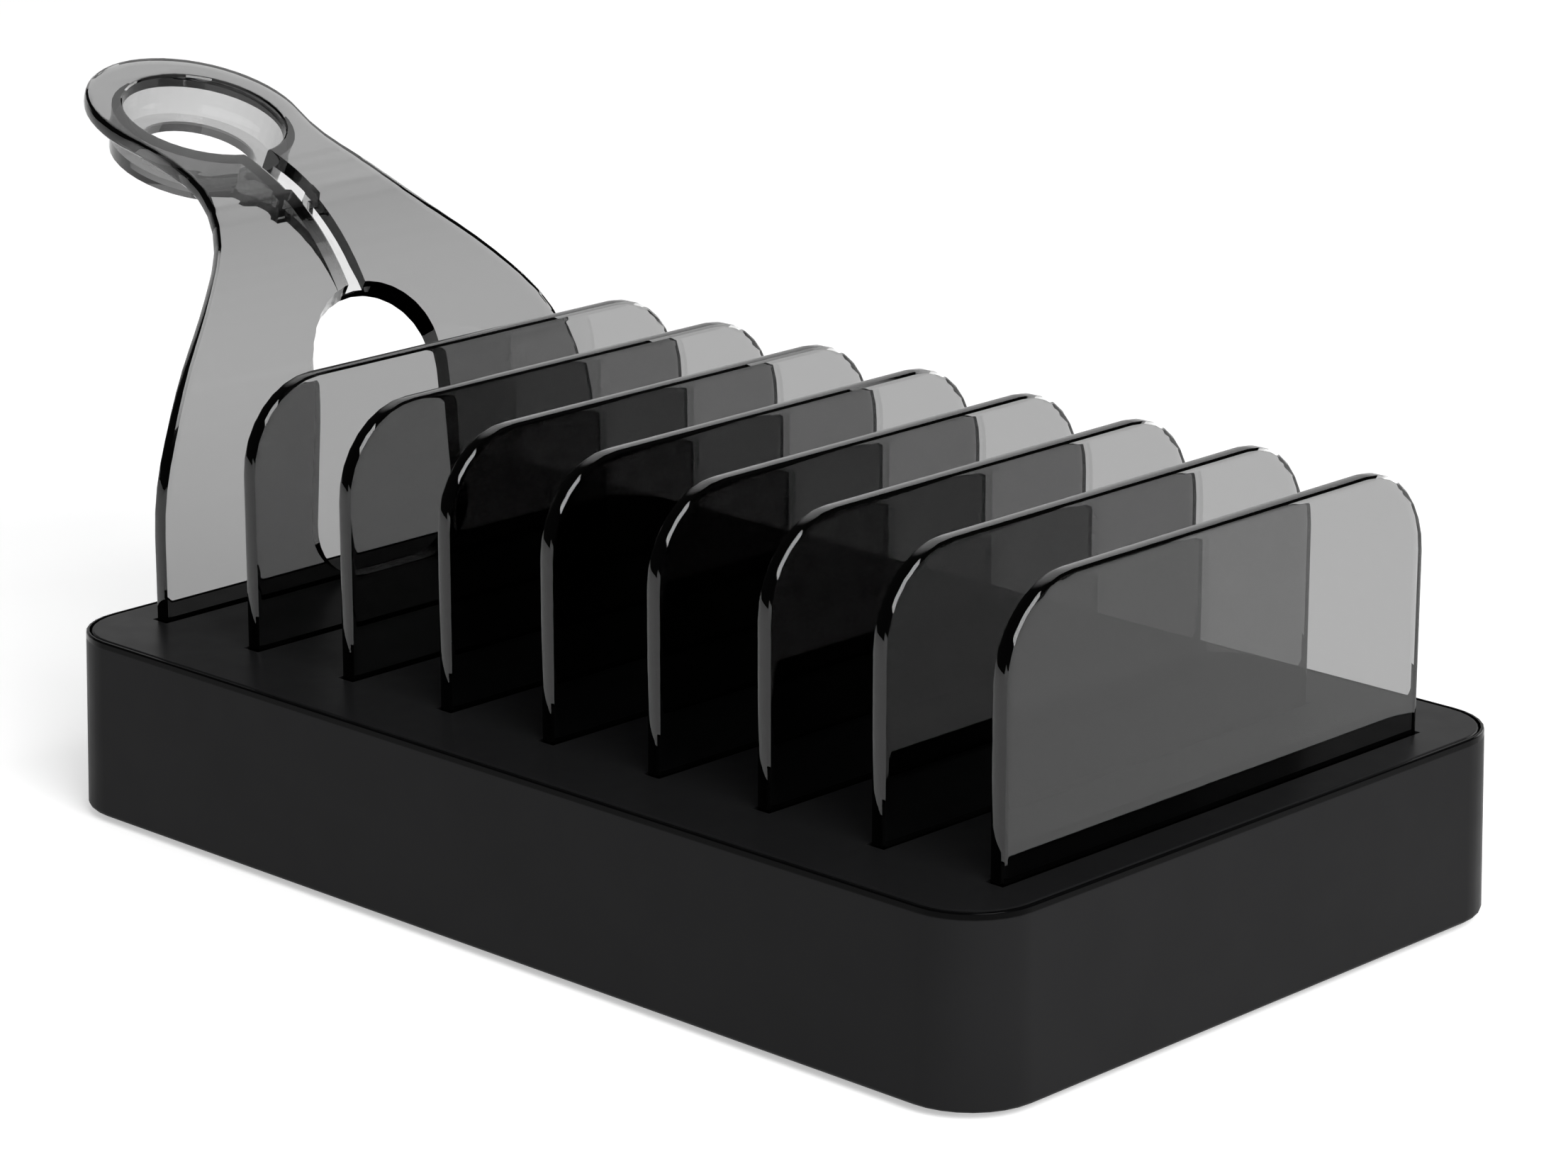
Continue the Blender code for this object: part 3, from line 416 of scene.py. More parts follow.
@dataclass(frozen=True, kw_only=True)
class SmokedAcrylic:
    """Polished smoked acrylic: clear, with grey dye all through it.

    Attributes:
        name: The material's name.
        index: Its refractive index.
        dye: How fast the dye takes up light, per metre.
        haze: The most roughness that its polish leaves.
        patch: The width of a patch with haze.
        setting_in: The noise at which the haze starts and at which it is full.
    """

    name: str
    index: float
    dye: float
    haze: float
    patch: float = 0.012
    setting_in: Range = (0.45, 0.75)

    def build(self) -> bpy.types.Material:
        """Makes the material: clear glass with a constant grey dye and a faint uneven polish."""
        graph = Graph(self.name)
        graph.set(Base_Color=(*WHITE, 1.0), Transmission_Weight=1.0, IOR=self.index)
        polish = graph.noise(self.patch, detail=3.0)
        graph.feed("Roughness", graph.spread(polish, 0.0, self.haze, *self.setting_in))
        dye = graph.tree.nodes.new("ShaderNodeVolumeAbsorption")
        dye.inputs["Color"].default_value = (*BLACK, 1.0)
        dye.inputs["Density"].default_value = self.dye
        graph.link(dye.outputs["Volume"], graph.output.inputs["Volume"])
        return graph.material


@dataclass(frozen=True, kw_only=True)
class RolledMetal:
    """Plated sheet or wire with faint lines along one axis.

    Attributes:
        name: The material's name.
        colour: The metal's colour.
        roughness: Its middle roughness.
        along: The axis that its lines follow.
        line: The width of a line.
        slimness: The width of a line as a share of its length.
        smoother: How far the smoothest lines are below the middle roughness.
        rougher: How far the roughest lines are above it.
        relief: The height of a line.
        stain: The width of a tarnished spot.
        tarnish: The share of its colour that a tarnished spot keeps.
    """

    name: str
    colour: Colour
    roughness: float
    along: Axis
    line: float
    slimness: float = 0.05
    smoother: float = 0.08
    rougher: float = 0.1
    relief: float = 0.000004
    stain: float = 0.003
    tarnish: float = 0.85

    def build(self) -> bpy.types.Material:
        """Makes the material: fine lines in its roughness, and slow tarnish in its colour."""
        graph = Graph(self.name)
        stretch = [1.0, 1.0, 1.0]
        stretch[self.along.value] = self.slimness
        lines = graph.noise(self.line, detail=3.0, stretch=tuple(stretch))
        stains = graph.noise(self.stain, detail=3.0)
        graph.feed("Base Color", graph.blend(stains, shade(self.colour, self.tarnish),
                                             self.colour))
        graph.feed("Roughness", graph.spread(lines, self.roughness - self.smoother,
                                             self.roughness + self.rougher))
        graph.set(Metallic=1.0)
        graph.bump(lines, self.relief)
        return graph.material


@dataclass(frozen=True, kw_only=True)
class Laminate:
    """The circuit board: lacquer over copper tracks and glass cloth.

    Attributes:
        name: The material's name.
        lacquer: The colour of the lacquer.
        track: The colour over a copper track.
        pitch: The spacing of the tracks.
        track_share: The width of a track as a share of the pitch.
        run_share: The length of a track as a share of the pitch.
        second: The share of its colour that every other field of lacquer keeps.
        roughness: The least and the most roughness of the lacquer.
        patch: The width of a patch of one roughness.
        thread: The spacing of the cloth's threads.
        weave: The width of a thread as a share of its length.
        relief: The height of the cloth's weave.
    """

    name: str
    lacquer: Colour
    track: Colour
    pitch: float
    track_share: float = 0.09
    run_share: float = 6.0
    second: float = 0.8
    roughness: Range = (0.32, 0.45)
    patch: float = 0.004
    thread: float = 0.0006
    weave: float = 0.1
    relief: float = 0.00002

    def build(self) -> bpy.types.Material:
        """Makes the material: tracks from a brick pattern, and a woven relief."""
        graph = Graph(self.name)
        bricks = graph.tree.nodes.new("ShaderNodeTexBrick")
        for socket, value in (("Color1", (*self.lacquer, 1.0)),
                              ("Color2", (*shade(self.lacquer, self.second), 1.0)),
                              ("Mortar", (*self.track, 1.0)),
                              ("Scale", 1.0),
                              ("Mortar Size", self.pitch * self.track_share),
                              ("Brick Width", self.pitch * self.run_share),
                              ("Row Height", self.pitch)):
            bricks.inputs[socket].default_value = value
        graph.link(graph.place, bricks.inputs["Vector"])
        graph.feed("Base Color", bricks.outputs["Color"])
        graph.feed("Roughness", graph.spread(graph.noise(self.patch), *self.roughness))
        warp = graph.noise(self.thread, detail=1.0, stretch=(1.0, self.weave, 1.0))
        weft = graph.noise(self.thread, detail=1.0, stretch=(self.weave, 1.0, 1.0))
        graph.bump(graph.math("MULTIPLY", warp, weft), self.relief)
        return graph.material


@dataclass(frozen=True, kw_only=True)
class Sintered:
    """Grey ferrite, pressed from powder.

    Attributes:
        name: The material's name.
        colour: The ferrite's colour.
        grit: The width of a speck.
        dark: The share of its colour between the specks.
        light: The share of its colour on a speck.
        edges: The noise at which a speck starts and at which it is full.
        roughness: The least and the most roughness.
        relief: The height of a speck.
    """

    name: str
    colour: Colour
    grit: float
    dark: float = 0.7
    light: float = 1.6
    edges: Range = (0.4, 0.65)
    roughness: Range = (0.45, 0.7)
    relief: float = 0.00004

    def build(self) -> bpy.types.Material:
        """Makes the material: specks in the colour and a gritty relief."""
        graph = Graph(self.name)
        specks = graph.noise(self.grit, detail=5.0)
        graph.feed("Base Color", graph.blend(graph.spread(specks, 0.0, 1.0, *self.edges),
                                             shade(self.colour, self.dark),
                                             shade(self.colour, self.light)))
        graph.feed("Roughness", graph.spread(specks, *self.roughness))
        graph.bump(specks, self.relief)
        return graph.material


@dataclass(frozen=True, kw_only=True)
class TapedWinding:
    """Yellow tape over turns of wire.

    Attributes:
        name: The material's name.
        tape: The colour of the tape.
        turn: The height of one turn.
        wander: How unevenly the turns lie.
        between: The share of its colour that the tape keeps between the turns, as painted shade
            in the gaps.
        roughness: The least and the most roughness.
        patch: The width of a patch of one roughness.
        relief: How far a turn stands out.
    """

    name: str
    tape: Colour
    turn: float
    wander: float = 0.4
    between: float = 0.55
    roughness: Range = (0.3, 0.5)
    patch: float = 0.002
    relief: float = 0.00012

    def build(self) -> bpy.types.Material:
        """Makes the material: bands up the winding, with painted shade between the turns."""
        graph = Graph(self.name)
        bands = graph.tree.nodes.new("ShaderNodeTexWave")
        bands.bands_direction = "Z"
        bands.inputs["Scale"].default_value = 0.5 / self.turn
        bands.inputs["Distortion"].default_value = self.wander
        graph.link(graph.place, bands.inputs["Vector"])
        turns = bands.outputs["Fac"]
        # The darker colour between the turns is painted shade in the gaps; the bump is the real
        # relief.
        graph.feed("Base Color", graph.blend(turns, shade(self.tape, self.between), self.tape))
        graph.feed("Roughness", graph.spread(graph.noise(self.patch), *self.roughness))
        graph.bump(turns, self.relief)
        return graph.material


@dataclass(frozen=True, kw_only=True)
class SleevedCan:
    """A capacitor: a dark printed sleeve with a pale band, and a bare metal top.

    Attributes:
        name: The material's name.
        sleeve: The sleeve's colour.
        band: The colour of the band down one side.
        metal: The colour of the bare top.
        band_half: Half the band's width.
        top_z: The height where the bare top starts.
        roughness: The least and the most roughness.
        patch: The width of a patch of one roughness.
        grain: The width of a grain.
        relief: The height of the grain.
    """

    name: str
    sleeve: Colour
    band: Colour
    metal: Colour
    band_half: float
    top_z: float
    roughness: Range = (0.3, 0.42)
    patch: float = 0.001
    grain: float = 0.0004
    relief: float = 0.00001

    def build(self) -> bpy.types.Material:
        """Makes the material from the height and the distance from the can's middle."""
        graph = Graph(self.name)
        aside = graph.math("ABSOLUTE", graph.along(Axis.Y))
        in_band = graph.math("LESS_THAN", aside, self.band_half)
        on_top = graph.math("GREATER_THAN", graph.along(Axis.Z), self.top_z)
        sleeve = graph.blend(in_band, self.sleeve, self.band)
        graph.feed("Base Color", graph.blend(on_top, sleeve, self.metal))
        graph.feed("Metallic", on_top)
        graph.feed("Roughness", graph.spread(graph.noise(self.patch), *self.roughness))
        graph.bump(graph.noise(self.grain), self.relief)
        return graph.material


@dataclass
class Finishes:
    """Every finish of the station, each made into a material once."""

    # The shell's top-edge band is painted shade, with a real smoother polish.
    shell: RimShadedPlastic = RimShadedPlastic(
        name="moulded_black", colour=(0.0145, 0.0145, 0.0150), roughness=0.42, gloss=0.04,
        grain=0.0004, relief=0.000006, rim_start=0.0278, rim_end=0.0281,
        rim_painted_shade=(0.0015, 0.0015, 0.0016), rim_roughness=0.2)
    top: MouldedPlastic = MouldedPlastic(
        name="satin_black", colour=(0.0090, 0.0090, 0.0094), roughness=0.36, gloss=0.04,
        grain=0.0003, relief=0.000004)
    inlet: MouldedPlastic = MouldedPlastic(
        name="inlet_black", colour=(0.012, 0.012, 0.012), roughness=0.35, gloss=0.4,
        grain=0.0005, relief=0.000006)
    rubber: MouldedPlastic = MouldedPlastic(
        name="foot_rubber", colour=(0.018, 0.018, 0.018), roughness=0.8, gloss=0.3,
        grain=0.0006, relief=0.00003)
    nylon: MouldedPlastic = MouldedPlastic(
        name="white_nylon", colour=(0.76, 0.76, 0.74), roughness=0.45, gloss=0.4,
        grain=0.0005, relief=0.00001)
    acrylic: SmokedAcrylic = SmokedAcrylic(
        name="smoked_acrylic", index=1.49, dye=470.0, haze=0.012)
    steel: RolledMetal = RolledMetal(
        name="plated_steel", colour=(0.62, 0.62, 0.63), roughness=0.3, along=Axis.Y,
        line=0.0002)
    pin: RolledMetal = RolledMetal(
        name="plated_pin", colour=(0.66, 0.65, 0.62), roughness=0.22, along=Axis.X,
        line=0.0002)
    gold: RolledMetal = RolledMetal(
        name="gold_contact", colour=(0.85, 0.6, 0.22), roughness=0.25, along=Axis.Y,
        line=0.0001)
    board: Laminate = Laminate(
        name="board_laminate", lacquer=(0.012, 0.085, 0.04), track=(0.03, 0.17, 0.07),
        pitch=0.0016)
    ferrite: Sintered = Sintered(
        name="sintered_ferrite", colour=(0.05, 0.05, 0.055), grit=0.0004)
    winding: TapedWinding = TapedWinding(
        name="taped_winding", tape=(0.62, 0.44, 0.06), turn=0.0006)
    can: SleevedCan = SleevedCan(
        name="sleeved_can", sleeve=(0.02, 0.025, 0.06), band=(0.5, 0.5, 0.48),
        metal=(0.7, 0.7, 0.71), band_half=0.0012, top_z=0.0203)
    made: dict[str, bpy.types.Material] = field(default_factory=dict)

    def material(self, finish: Finish) -> bpy.types.Material:
        """The material of a finish, made the first time that it is asked for.

        Args:
            finish: One of the finishes above.

        Returns:
            Its material.
        """
        if finish.name not in self.made:
            self.made[finish.name] = finish.build()
        return self.made[finish.name]


def rounding_group(sharp_angle: float, merge_distance: float = 1e-6) -> bpy.types.NodeTree:
    """The modifier tree that joins loose triangles and shades their curves smoothly.

    Args:
        sharp_angle: The bend of an edge from which it stays sharp.
        merge_distance: How near two corners are when they are one.

    Returns:
        The tree, for a Nodes modifier.
    """
    name = f"smooth_to_{math.degrees(sharp_angle):.0f}_degrees"
    if name in bpy.data.node_groups:
        return bpy.data.node_groups[name]
    tree = bpy.data.node_groups.new(name, "GeometryNodeTree")
    tree.interface.new_socket("Geometry", in_out="INPUT", socket_type="NodeSocketGeometry")
    tree.interface.new_socket("Geometry", in_out="OUTPUT", socket_type="NodeSocketGeometry")
    start = tree.nodes.new("NodeGroupInput")
    merge = tree.nodes.new("GeometryNodeMergeByDistance")
    merge.inputs["Distance"].default_value = merge_distance
    forget = tree.nodes.new("GeometryNodeRemoveAttribute")
    forget.inputs["Name"].default_value = "custom_normal"
    smooth = tree.nodes.new("GeometryNodeSetShadeSmooth")
    bend = tree.nodes.new("GeometryNodeInputMeshEdgeAngle").outputs["Unsigned Angle"]
    crease = tree.nodes.new("GeometryNodeSetShadeSmooth")
    crease.domain = "EDGE"
    crease.inputs["Shade Smooth"].default_value = False
    tree.links.new(reckon(tree, "GREATER_THAN", bend, sharp_angle), crease.inputs["Selection"])
    end = tree.nodes.new("NodeGroupOutput")
    chain = (start, merge, forget, smooth, crease, end)
    for first, second in zip(chain, chain[1:]):
        tree.links.new(first.outputs[0], second.inputs[0])
    return tree


def dress(names: Iterable[str], material: bpy.types.Material,
          sharp_angle: float = MOULDED_EDGE) -> None:
    """Gives CAD pieces a material and smooth shading on their curves, and reports each.

    Args:
        names: The pieces' node names.
        material: The material.
        sharp_angle: The bend of an edge from which it stays sharp.
    """
    group = rounding_group(sharp_angle)
    for name in names:
        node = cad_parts[name]
        node.modifiers.new("smooth_curves", "NODES").node_group = group
        weighted = node.modifiers.new("large_faces_first", "WEIGHTED_NORMAL")
        weighted.keep_sharp = True
        for slot in node.material_slots:
            slot.material = material
        LOG.info("%s dressed in %s", name, material.name)


def numbered(stem: str, count: int) -> list[str]:
    """The node names of pieces that repeat."""
    return [f"{stem}_{number}" for number in range(1, count + 1)]


def deselect_all() -> None:
    """Leaves no object selected, because an operator acts on all that is."""
    bpy.ops.object.select_all(action="DESELECT")


def take_up(obj: bpy.types.Object) -> None:
    """Makes one object the only selected and the active one."""
    deselect_all()
    obj.select_set(True)
    bpy.context.view_layer.objects.active = obj


def apply_modifiers(obj: bpy.types.Object) -> None:
    """Applies every modifier of an object, in order."""
    take_up(obj)
    for modifier in list(obj.modifiers):
        bpy.ops.object.modifier_apply(modifier=modifier.name)


@dataclass
class Housing:
    """The shell and its inset top."""

    finishes: Finishes

    def build(self) -> None:
        """Dresses the shell and the top."""
        dress(["housing_shell"], self.finishes.material(self.finishes.shell))
        dress(["top_plate"], self.finishes.material(self.finishes.top))


@dataclass
class Underside:
    """The bottom cover with its feet and screws."""

    finishes: Finishes
    corners: int = 4

    def build(self) -> None:
        """Dresses the cover, the feet and the screws."""
        dress(["bottom_cover"], self.finishes.material(self.finishes.shell))
        dress(numbered("foot", self.corners), self.finishes.material(self.finishes.rubber))
        dress(numbered("screw", self.corners), self.finishes.material(self.finishes.steel))


@dataclass
class ClearPlates:
    """The dividers and the watch holder, all of smoked acrylic with polished edges.

    Attributes:
        finishes: The finishes.
        dividers: How many dividers there are.
        polished_edge: The bend from which an edge stays sharp, so that rims glint.
    """

    finishes: Finishes
    dividers: int = 8
    polished_edge: float = math.radians(22.0)

    def build(self) -> None:
        """Dresses the dividers and the watch holder."""
        acrylic = self.finishes.material(self.finishes.acrylic)
        dress(numbered("divider", self.dividers), acrylic, self.polished_edge)
        dress(["watch_holder"], acrylic, self.polished_edge)


@dataclass(frozen=True)
class Strip:
    """A narrow strip of sheet metal that follows a line in the y-z plane.

    Attributes:
        width: Its width.
        thickness: The thickness of the sheet.
        line: Its places along y and z from end to end.
        rounding: The rounding of its long edges.
        rounding_segments: The facets of that rounding.
        smooth_angle: The bend up to which it is shaded smoothly.
    """

    width: float
    thickness: float
    line: Sequence[tuple[float, float]]
    rounding: float
    rounding_segments: int = 2
    smooth_angle: float = math.radians(40.0)

    def build(self, name: str) -> bpy.types.Object:
        """Extrudes a plane's far edge from place to place, and thickens and rounds the strip.

        Args:
            name: The new object's name.

        Returns:
            The strip, with its place in its mesh.
        """
        deselect_all()
        (first_y, first_z), (next_y, next_z) = self.line[:2]
        bpy.ops.mesh.primitive_plane_add(size=1.0)
        obj = bpy.context.object
        obj.name = obj.data.name = name
        for vertex in obj.data.vertices:
            far = vertex.co.y > 0.0
            vertex.co.x *= self.width
            vertex.co.y, vertex.co.z = (next_y, next_z) if far else (first_y, first_z)
            vertex.select = far
        for edge in obj.data.edges:
            edge.select = all(obj.data.vertices[i].select for i in edge.vertices)
        for face in obj.data.polygons:
            face.select = False
        bpy.ops.object.mode_set(mode="EDIT")
        bpy.ops.mesh.select_mode(type="EDGE")
        for (y, z), (after_y, after_z) in zip(self.line[1:], self.line[2:]):
            step = (0.0, after_y - y, after_z - z)
            bpy.ops.mesh.extrude_region_move(TRANSFORM_OT_translate={"value": step})
        bpy.ops.mesh.select_all(action="SELECT")
        bpy.ops.mesh.normals_make_consistent(inside=False)
        bpy.ops.object.mode_set(mode="OBJECT")
        sheet = obj.modifiers.new("Sheet", "SOLIDIFY")
        sheet.thickness = self.thickness
        sheet.offset = 0.0
        rounding = obj.modifiers.new("Rounding", "BEVEL")
        rounding.width = self.rounding
        rounding.segments = self.rounding_segments
        apply_modifiers(obj)
        bpy.ops.object.shade_smooth_by_angle(angle=self.smooth_angle)
        return obj


@dataclass
class SocketRow:
    """The seven sockets: their shells and tongues, and the contacts and springs inside.

    Attributes:
        finishes: The finishes.
        count: How many sockets there are.
        contact_width: The width of a contact strip.
        contact_thickness: Its thickness.
        contact_rounding: The rounding of its edges.
        contact_run: Its length.
        contact_setback: How far its end is behind the tongue's.
        contact_bow: How far its middle bows away from the tongue.
        pair_spacing: The distance from the first strip to the second.
        pairs_spacing: The distance from the first two strips to the last two.
        spring_width: The width of a leaf spring.
        spring_thickness: Its thickness.
        spring_rounding: The rounding of its edges.
        spring_run: Its length.
        spring_setback: How far its end is behind the shell's mouth.
        spring_bow: How far its middle bows into the shell.
        springs_spacing: The distance between two springs side by side.
        shell_metal: The thickness of the shell's sheet.
        steps: The straight steps of a bow.
    """

    finishes: Finishes
    count: int = 7
    contact_width: float = 0.001
    contact_thickness: float = 0.00016
    contact_rounding: float = 0.00004
    contact_run: float = 0.0066
    contact_setback: float = 0.0007
    contact_bow: float = 0.00028
    pair_spacing: float = 0.0025
    pairs_spacing: float = 0.0045
    spring_width: float = 0.0019
    spring_thickness: float = 0.0002
    spring_rounding: float = 0.00005
    spring_run: float = 0.0058
    spring_setback: float = 0.0012
    spring_bow: float = 0.00042
    springs_spacing: float = 0.0052
    shell_metal: float = 0.0004
    steps: int = 7

    def bow(self, start: float, end: float, level: float, rise: float
            ) -> list[tuple[float, float]]:
        """A line along y that bows away from its level in the middle.

        Args:
            start: Where it starts along y.
            end: Where it ends.
            level: Its height at both ends.
            rise: How far its middle is from that height.

        Returns:
            Its places.
        """
        places = []
        for step in range(self.steps + 1):
            share = step / self.steps
            y = start + (end - start) * share
            places.append((y, level + rise * math.sin(share * math.pi)))
        return places

    def repeated(self, obj: bpy.types.Object, spacings: Sequence[float]) -> None:
        """Repeats a strip along x, once for each spacing, and centres what results.

        Args:
            obj: The strip.
            spacings: The distance from the strips so far to their copy.
        """
        for spacing in spacings:
            row = obj.modifiers.new("Row", "ARRAY")
            row.count = 2
            row.use_relative_offset = False
            row.use_constant_offset = True
            row.constant_offset_displace = (spacing, 0.0, 0.0)
        apply_modifiers(obj)
        obj.data.transform(Matrix.Translation((-sum(spacings) / 2, 0.0, 0.0)))

    def placed(self, pattern: bpy.types.Object, stem: str, number: int, x: float,
               finish: RolledMetal) -> None:
        """Puts a copy of a pattern into one socket, and lets it ride on the base.

        Args:
            pattern: The strips, centred on x = 0.
            stem: The start of the copy's name.
            number: The socket's number.
            x: The socket's place.
            finish: The copy's finish.
        """
        copy = pattern.copy()
        copy.data = pattern.data.copy()
        copy.name = copy.data.name = f"{stem}_{number}"
        copy.data.transform(Matrix.Translation((x, 0.0, 0.0)))
        bpy.context.scene.collection.objects.link(copy)
        copy.data.materials.clear()
        copy.data.materials.append(self.finishes.material(finish))
        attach(copy, Body.BASE.value)
        LOG.info("%s built and set in socket %d", copy.name, number)

    def contacts(self) -> bpy.types.Object:
        """Builds the four contact strips under a tongue, centred on x = 0."""
        tongue_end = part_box("usb_tongue_1")[1][Axis.Y.value]
        port_low, port_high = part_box("usb_port_1")
        underside = (port_low[Axis.Z.value] + port_high[Axis.Z.value]) / 2
        start = tongue_end - self.contact_setback
        level = underside - self.contact_thickness / 2
        line = self.bow(start, start - self.contact_run, level, -self.contact_bow)
        strip = Strip(self.contact_width, self.contact_thickness, line, self.contact_rounding)
        made = strip.build("contact_strips")
        self.repeated(made, (self.pair_spacing, self.pairs_spacing))
        return made

    def springs(self) -> bpy.types.Object:
        """Builds the leaf springs on a shell's floor and ceiling, centred on x = 0."""
        low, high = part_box("usb_port_1")
        start = high[Axis.Y.value] - self.spring_setback
        inner = self.shell_metal + self.spring_thickness / 2
        floor, ceiling = low[Axis.Z.value] + inner, high[Axis.Z.value] - inner
        leaves = []
        for level, rise in ((floor, self.spring_bow), (ceiling, -self.spring_bow)):
            line = self.bow(start, start - self.spring_run, level, rise)
            strip = Strip(self.spring_width, self.spring_thickness, line, self.spring_rounding)
            leaf = strip.build("leaf_springs")
            self.repeated(leaf, (self.springs_spacing,))
            leaves.append(leaf)
        take_up(leaves[0])
        leaves[1].select_set(True)
        bpy.ops.object.join()
        return leaves[0]

    def build(self) -> None:
        """Dresses the shells and tongues, and puts contacts and springs in each socket."""
        dress(numbered("usb_port", self.count), self.finishes.material(self.finishes.steel))
        dress(numbered("usb_tongue", self.count), self.finishes.material(self.finishes.nylon))
        contacts, springs = self.contacts(), self.springs()
        for number in range(1, self.count + 1):
            low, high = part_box(f"usb_port_{number}")
            x = (low[Axis.X.value] + high[Axis.X.value]) / 2
            self.placed(contacts, "usb_contacts", number, x, self.finishes.gold)
            self.placed(springs, "usb_springs", number, x, self.finishes.steel)
        for pattern in (contacts, springs):
            bpy.data.objects.remove(pattern)


@dataclass
class MainsInlet:
    """The figure-eight inlet and its two pins."""

    finishes: Finishes
    pins: int = 2

    def build(self) -> None:
        """Dresses the inlet and its pins."""
        dress(["ac_inlet"], self.finishes.material(self.finishes.inlet))
        dress(numbered("ac_pin", self.pins), self.finishes.material(self.finishes.pin))


@dataclass
class PowerSupply:
    """The board, the transformer and the capacitors."""

    finishes: Finishes
    capacitors: int = 2

    def build(self) -> None:
        """Dresses what is inside the base."""
        dress(["main_board"], self.finishes.material(self.finishes.board))
        dress(["transformer_core"], self.finishes.material(self.finishes.ferrite))
        dress(["transformer_coil"], self.finishes.material(self.finishes.winding))
        dress(numbered("capacitor", self.capacitors), self.finishes.material(self.finishes.can))


@dataclass(frozen=True)
class Lamp:
    """A square soft lamp that faces the station.

    Attributes:
        name: The lamp's name.
        place: Where it stands.
        size: The length of its side.
        power: Its power in watts.
    """

    name: str
    place: Point
    size: float
    power: float

    def build(self, aim: Vector) -> None:
        """Hangs the lamp and turns it to a point.

        Args:
            aim: The point that it faces.
        """
        light = bpy.data.lights.new(self.name, "AREA")
        light.shape = "SQUARE"
        light.size = self.size
        light.energy = self.power
        obj = bpy.data.objects.new(self.name, light)
        bpy.context.scene.collection.objects.link(obj)
        obj.location = self.place
        toward = aim - obj.location
        obj.rotation_euler = toward.to_track_quat("-Z", "Y").to_euler()
        LOG.info("lamp %s hung", self.name)


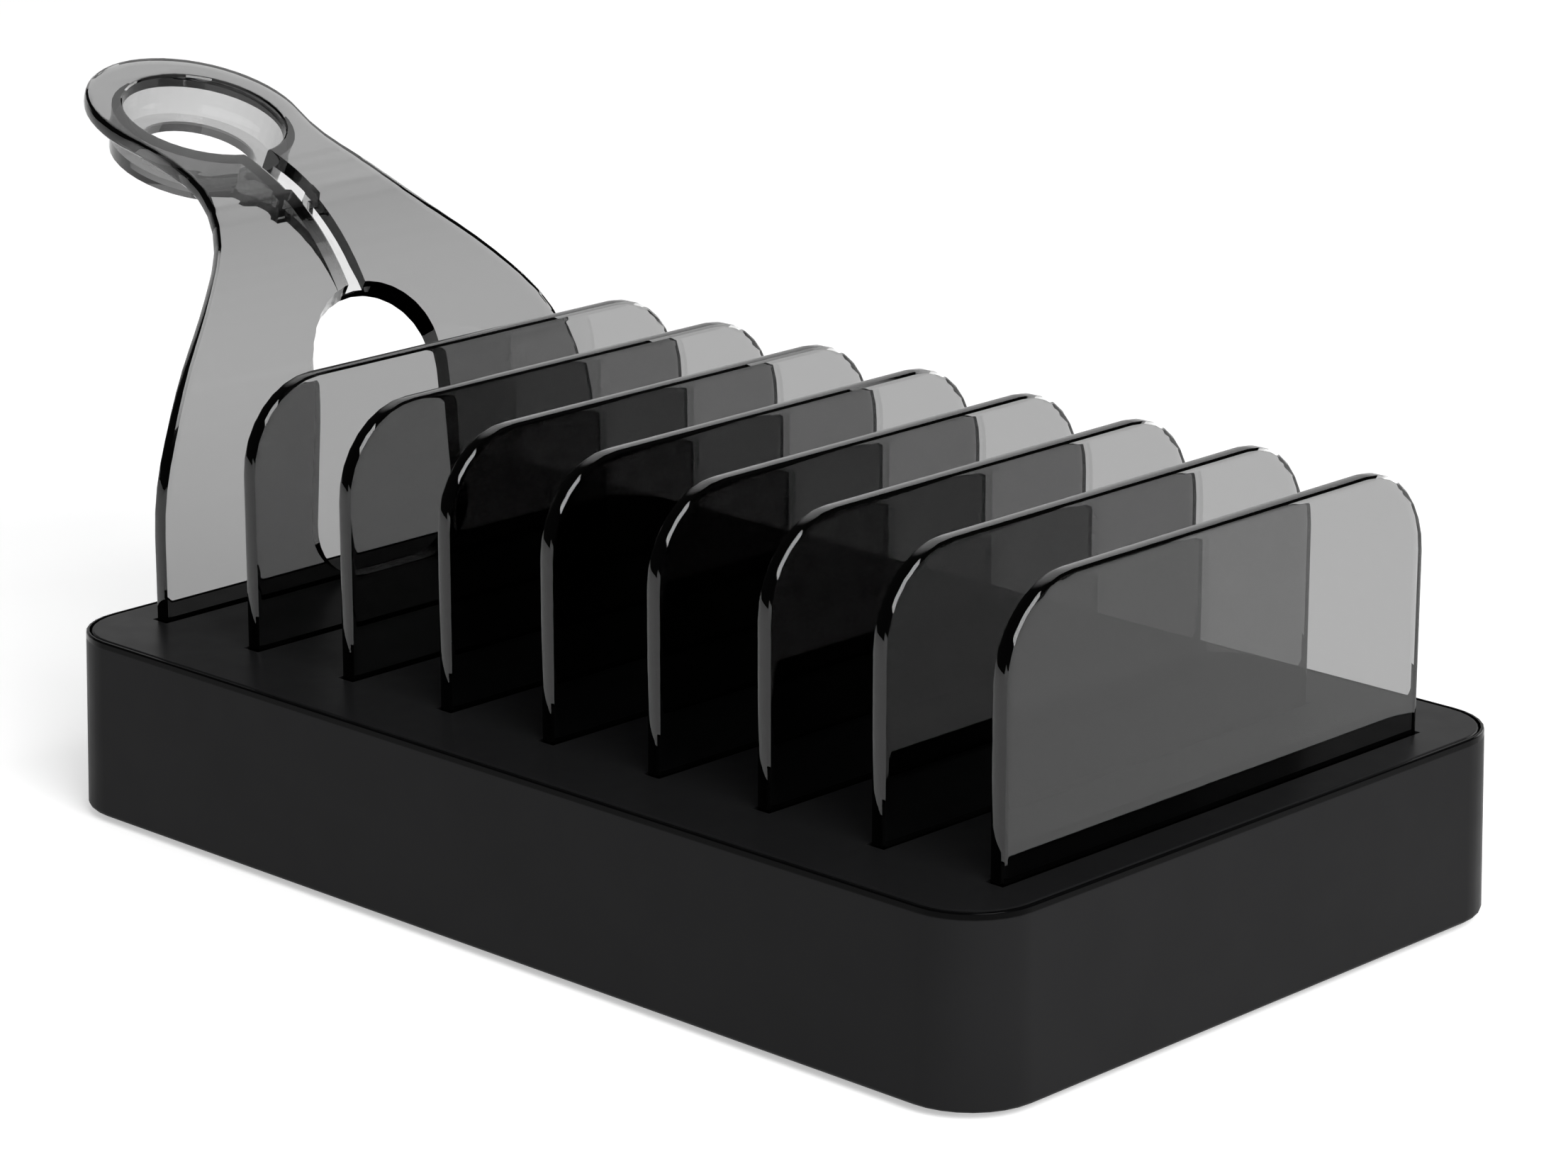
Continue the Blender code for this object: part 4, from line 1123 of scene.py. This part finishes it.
@dataclass
class Studio:
    """A white floor in a dim room, with soft lamps.

    Attributes:
        floor_size: The floor's width.
        floor_colour: Its colour.
        floor_roughness: Its roughness.
        floor_glow: What is added to it where it is seen, so that it reads as white.
        surround: The soft light of the room on matt surfaces.
        gloom: What the dim room shows in a reflection.
        backdrop: The way to the middle of a white backdrop that only reflections show.
        backdrop_side: The cosines of the angle from it between which the backdrop fades in.
        backdrop_top: The sines of the height between which it fades out.
        window: The way to the middle of a soft round light that only reflections show.
        window_edge: The cosines of the angle from it between which the light fades in.
        lamps: The lamps.
    """

    floor_size: float = 8.0
    floor_colour: Colour = (0.8, 0.8, 0.8)
    floor_roughness: float = 0.9
    floor_glow: float = 0.45
    surround: float = 0.4
    gloom: float = 0.03
    backdrop: Point = (-0.72, 0.69, 0.0)
    backdrop_side: Range = (0.45, 0.75)
    backdrop_top: Range = (0.31, 0.35)
    window: Point = (-0.48, 0.62, 0.62)
    window_edge: Range = (0.86, 0.97)
    lamps: tuple[Lamp, ...] = (
        Lamp(name="key", place=(1.25, -0.42, 1.02), size=1.0, power=25.0),
        Lamp(name="side", place=(0.15, 1.60, 0.45), size=0.7, power=8.0),
    )

    def floor(self) -> None:
        """Lays the floor: it reads as white wherever it is seen and keeps the shadow."""
        deselect_all()
        bpy.ops.mesh.primitive_plane_add(size=self.floor_size)
        floor = bpy.context.object
        floor.name = "floor"
        graph = Graph("studio_floor")
        graph.set(Base_Color=(*self.floor_colour, 1.0), Roughness=self.floor_roughness,
                  Specular_IOR_Level=0.0, Emission_Color=(*WHITE, 1.0))
        path = graph.tree.nodes.new("ShaderNodeLightPath").outputs
        seen = graph.math("MAXIMUM", path["Is Camera Ray"], path["Is Glossy Ray"])
        glow = graph.math("MULTIPLY", seen, self.floor_glow)
        graph.feed("Emission Strength", graph.math("MAXIMUM", glow, path["Is Transmission Ray"]))
        graph.material.cycles.emission_sampling = "NONE"
        floor.data.materials.append(graph.material)
        floor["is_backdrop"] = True

    def surround_world(self) -> None:
        """Makes the world: white where it is seen, dim in reflections, soft light elsewhere."""
        world = bpy.data.worlds.new("surround")
        bpy.context.scene.world = world
        world.use_nodes = True
        tree = world.node_tree
        background = tree.nodes["Background"]
        background.inputs["Color"].default_value = (*WHITE, 1.0)
        path = tree.nodes.new("ShaderNodeLightPath").outputs
        seen = reckon(tree, "MAXIMUM", path["Is Camera Ray"], path["Is Transmission Ray"])
        direction = tree.nodes.new("ShaderNodeTexCoord").outputs["Generated"]
        parts = tree.nodes.new("ShaderNodeSeparateXYZ")
        tree.links.new(direction, parts.inputs["Vector"])
        patches = []
        for way, edge in ((self.backdrop, self.backdrop_side), (self.window, self.window_edge)):
            toward = tree.nodes.new("ShaderNodeVectorMath")
            toward.operation = "DOT_PRODUCT"
            toward.inputs[1].default_value = way
            tree.links.new(direction, toward.inputs[0])
            patches.append(eased(tree, toward.outputs["Value"], *edge))
        above = eased(tree, parts.outputs["Z"], *self.backdrop_top)
        white = reckon(tree, "MULTIPLY", patches[0], reckon(tree, "SUBTRACT", 1.0, above))
        room = reckon(tree, "MAXIMUM", reckon(tree, "MAXIMUM", white, patches[1]), self.gloom)
        unseen = tree.nodes.new("ShaderNodeMix")
        tree.links.new(path["Is Glossy Ray"], unseen.inputs["Factor"])
        unseen.inputs["A"].default_value = self.surround
        tree.links.new(room, unseen.inputs["B"])
        lit = reckon(tree, "MAXIMUM", seen, unseen.outputs["Result"])
        tree.links.new(lit, background.inputs["Strength"])

    def build(self) -> None:
        """Sets the floor, the world, the lamps and the plain view transform."""
        self.floor()
        self.surround_world()
        low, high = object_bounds()
        middle = (Vector(low) + Vector(high)) / 2
        for lamp in self.lamps:
            lamp.build(middle)
        bpy.context.scene.view_settings.view_transform = "Standard"
        LOG.info("studio built")


@dataclass
class PhotoCamera:
    """The camera that took the photograph, found by fitting edges of the base and the ring.

    Attributes:
        place: Where it stands.
        heading: Its turn about the vertical.
        pitch: How far it looks down.
        roll: Its turn about its own axis.
        focal_pixels: Its focal length in the photograph's pixels.
        photo_width: The photograph's width in pixels.
        sensor: The width of its sensor, in millimetres.
    """

    place: Point = (0.53977, -0.53494, 0.26456)
    heading: float = math.radians(43.6853)
    pitch: float = math.radians(16.6625)
    roll: float = math.radians(0.0774)
    focal_pixels: float = 7372.93
    photo_width: int = 2212
    sensor: float = 36.0

    def build(self) -> None:
        """Makes the camera and takes it into use."""
        data = bpy.data.cameras.new("photo_camera")
        data.sensor_width = self.sensor
        data.lens = self.focal_pixels / self.photo_width * self.sensor
        camera = bpy.data.objects.new("photo_camera", data)
        bpy.context.scene.collection.objects.link(camera)
        turn = Matrix.Rotation(self.heading, 4, "Z")
        turn = turn @ Matrix.Rotation(math.pi / 2 - self.pitch, 4, "X")
        turn = turn @ Matrix.Rotation(self.roll, 4, "Z")
        camera.matrix_world = Matrix.Translation(self.place) @ turn
        bpy.context.scene.camera = camera
        LOG.info("camera set")


def main() -> None:
    """Builds the station's pieces and its studio in order."""
    logging.basicConfig(level=logging.INFO, format="%(message)s")
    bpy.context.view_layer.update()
    finishes = Finishes()
    for piece in (Housing(finishes), Underside(finishes), ClearPlates(finishes),
                  SocketRow(finishes), MainsInlet(finishes), PowerSupply(finishes),
                  Studio(), PhotoCamera()):
        piece.build()


if __name__ == "__main__":
    main()
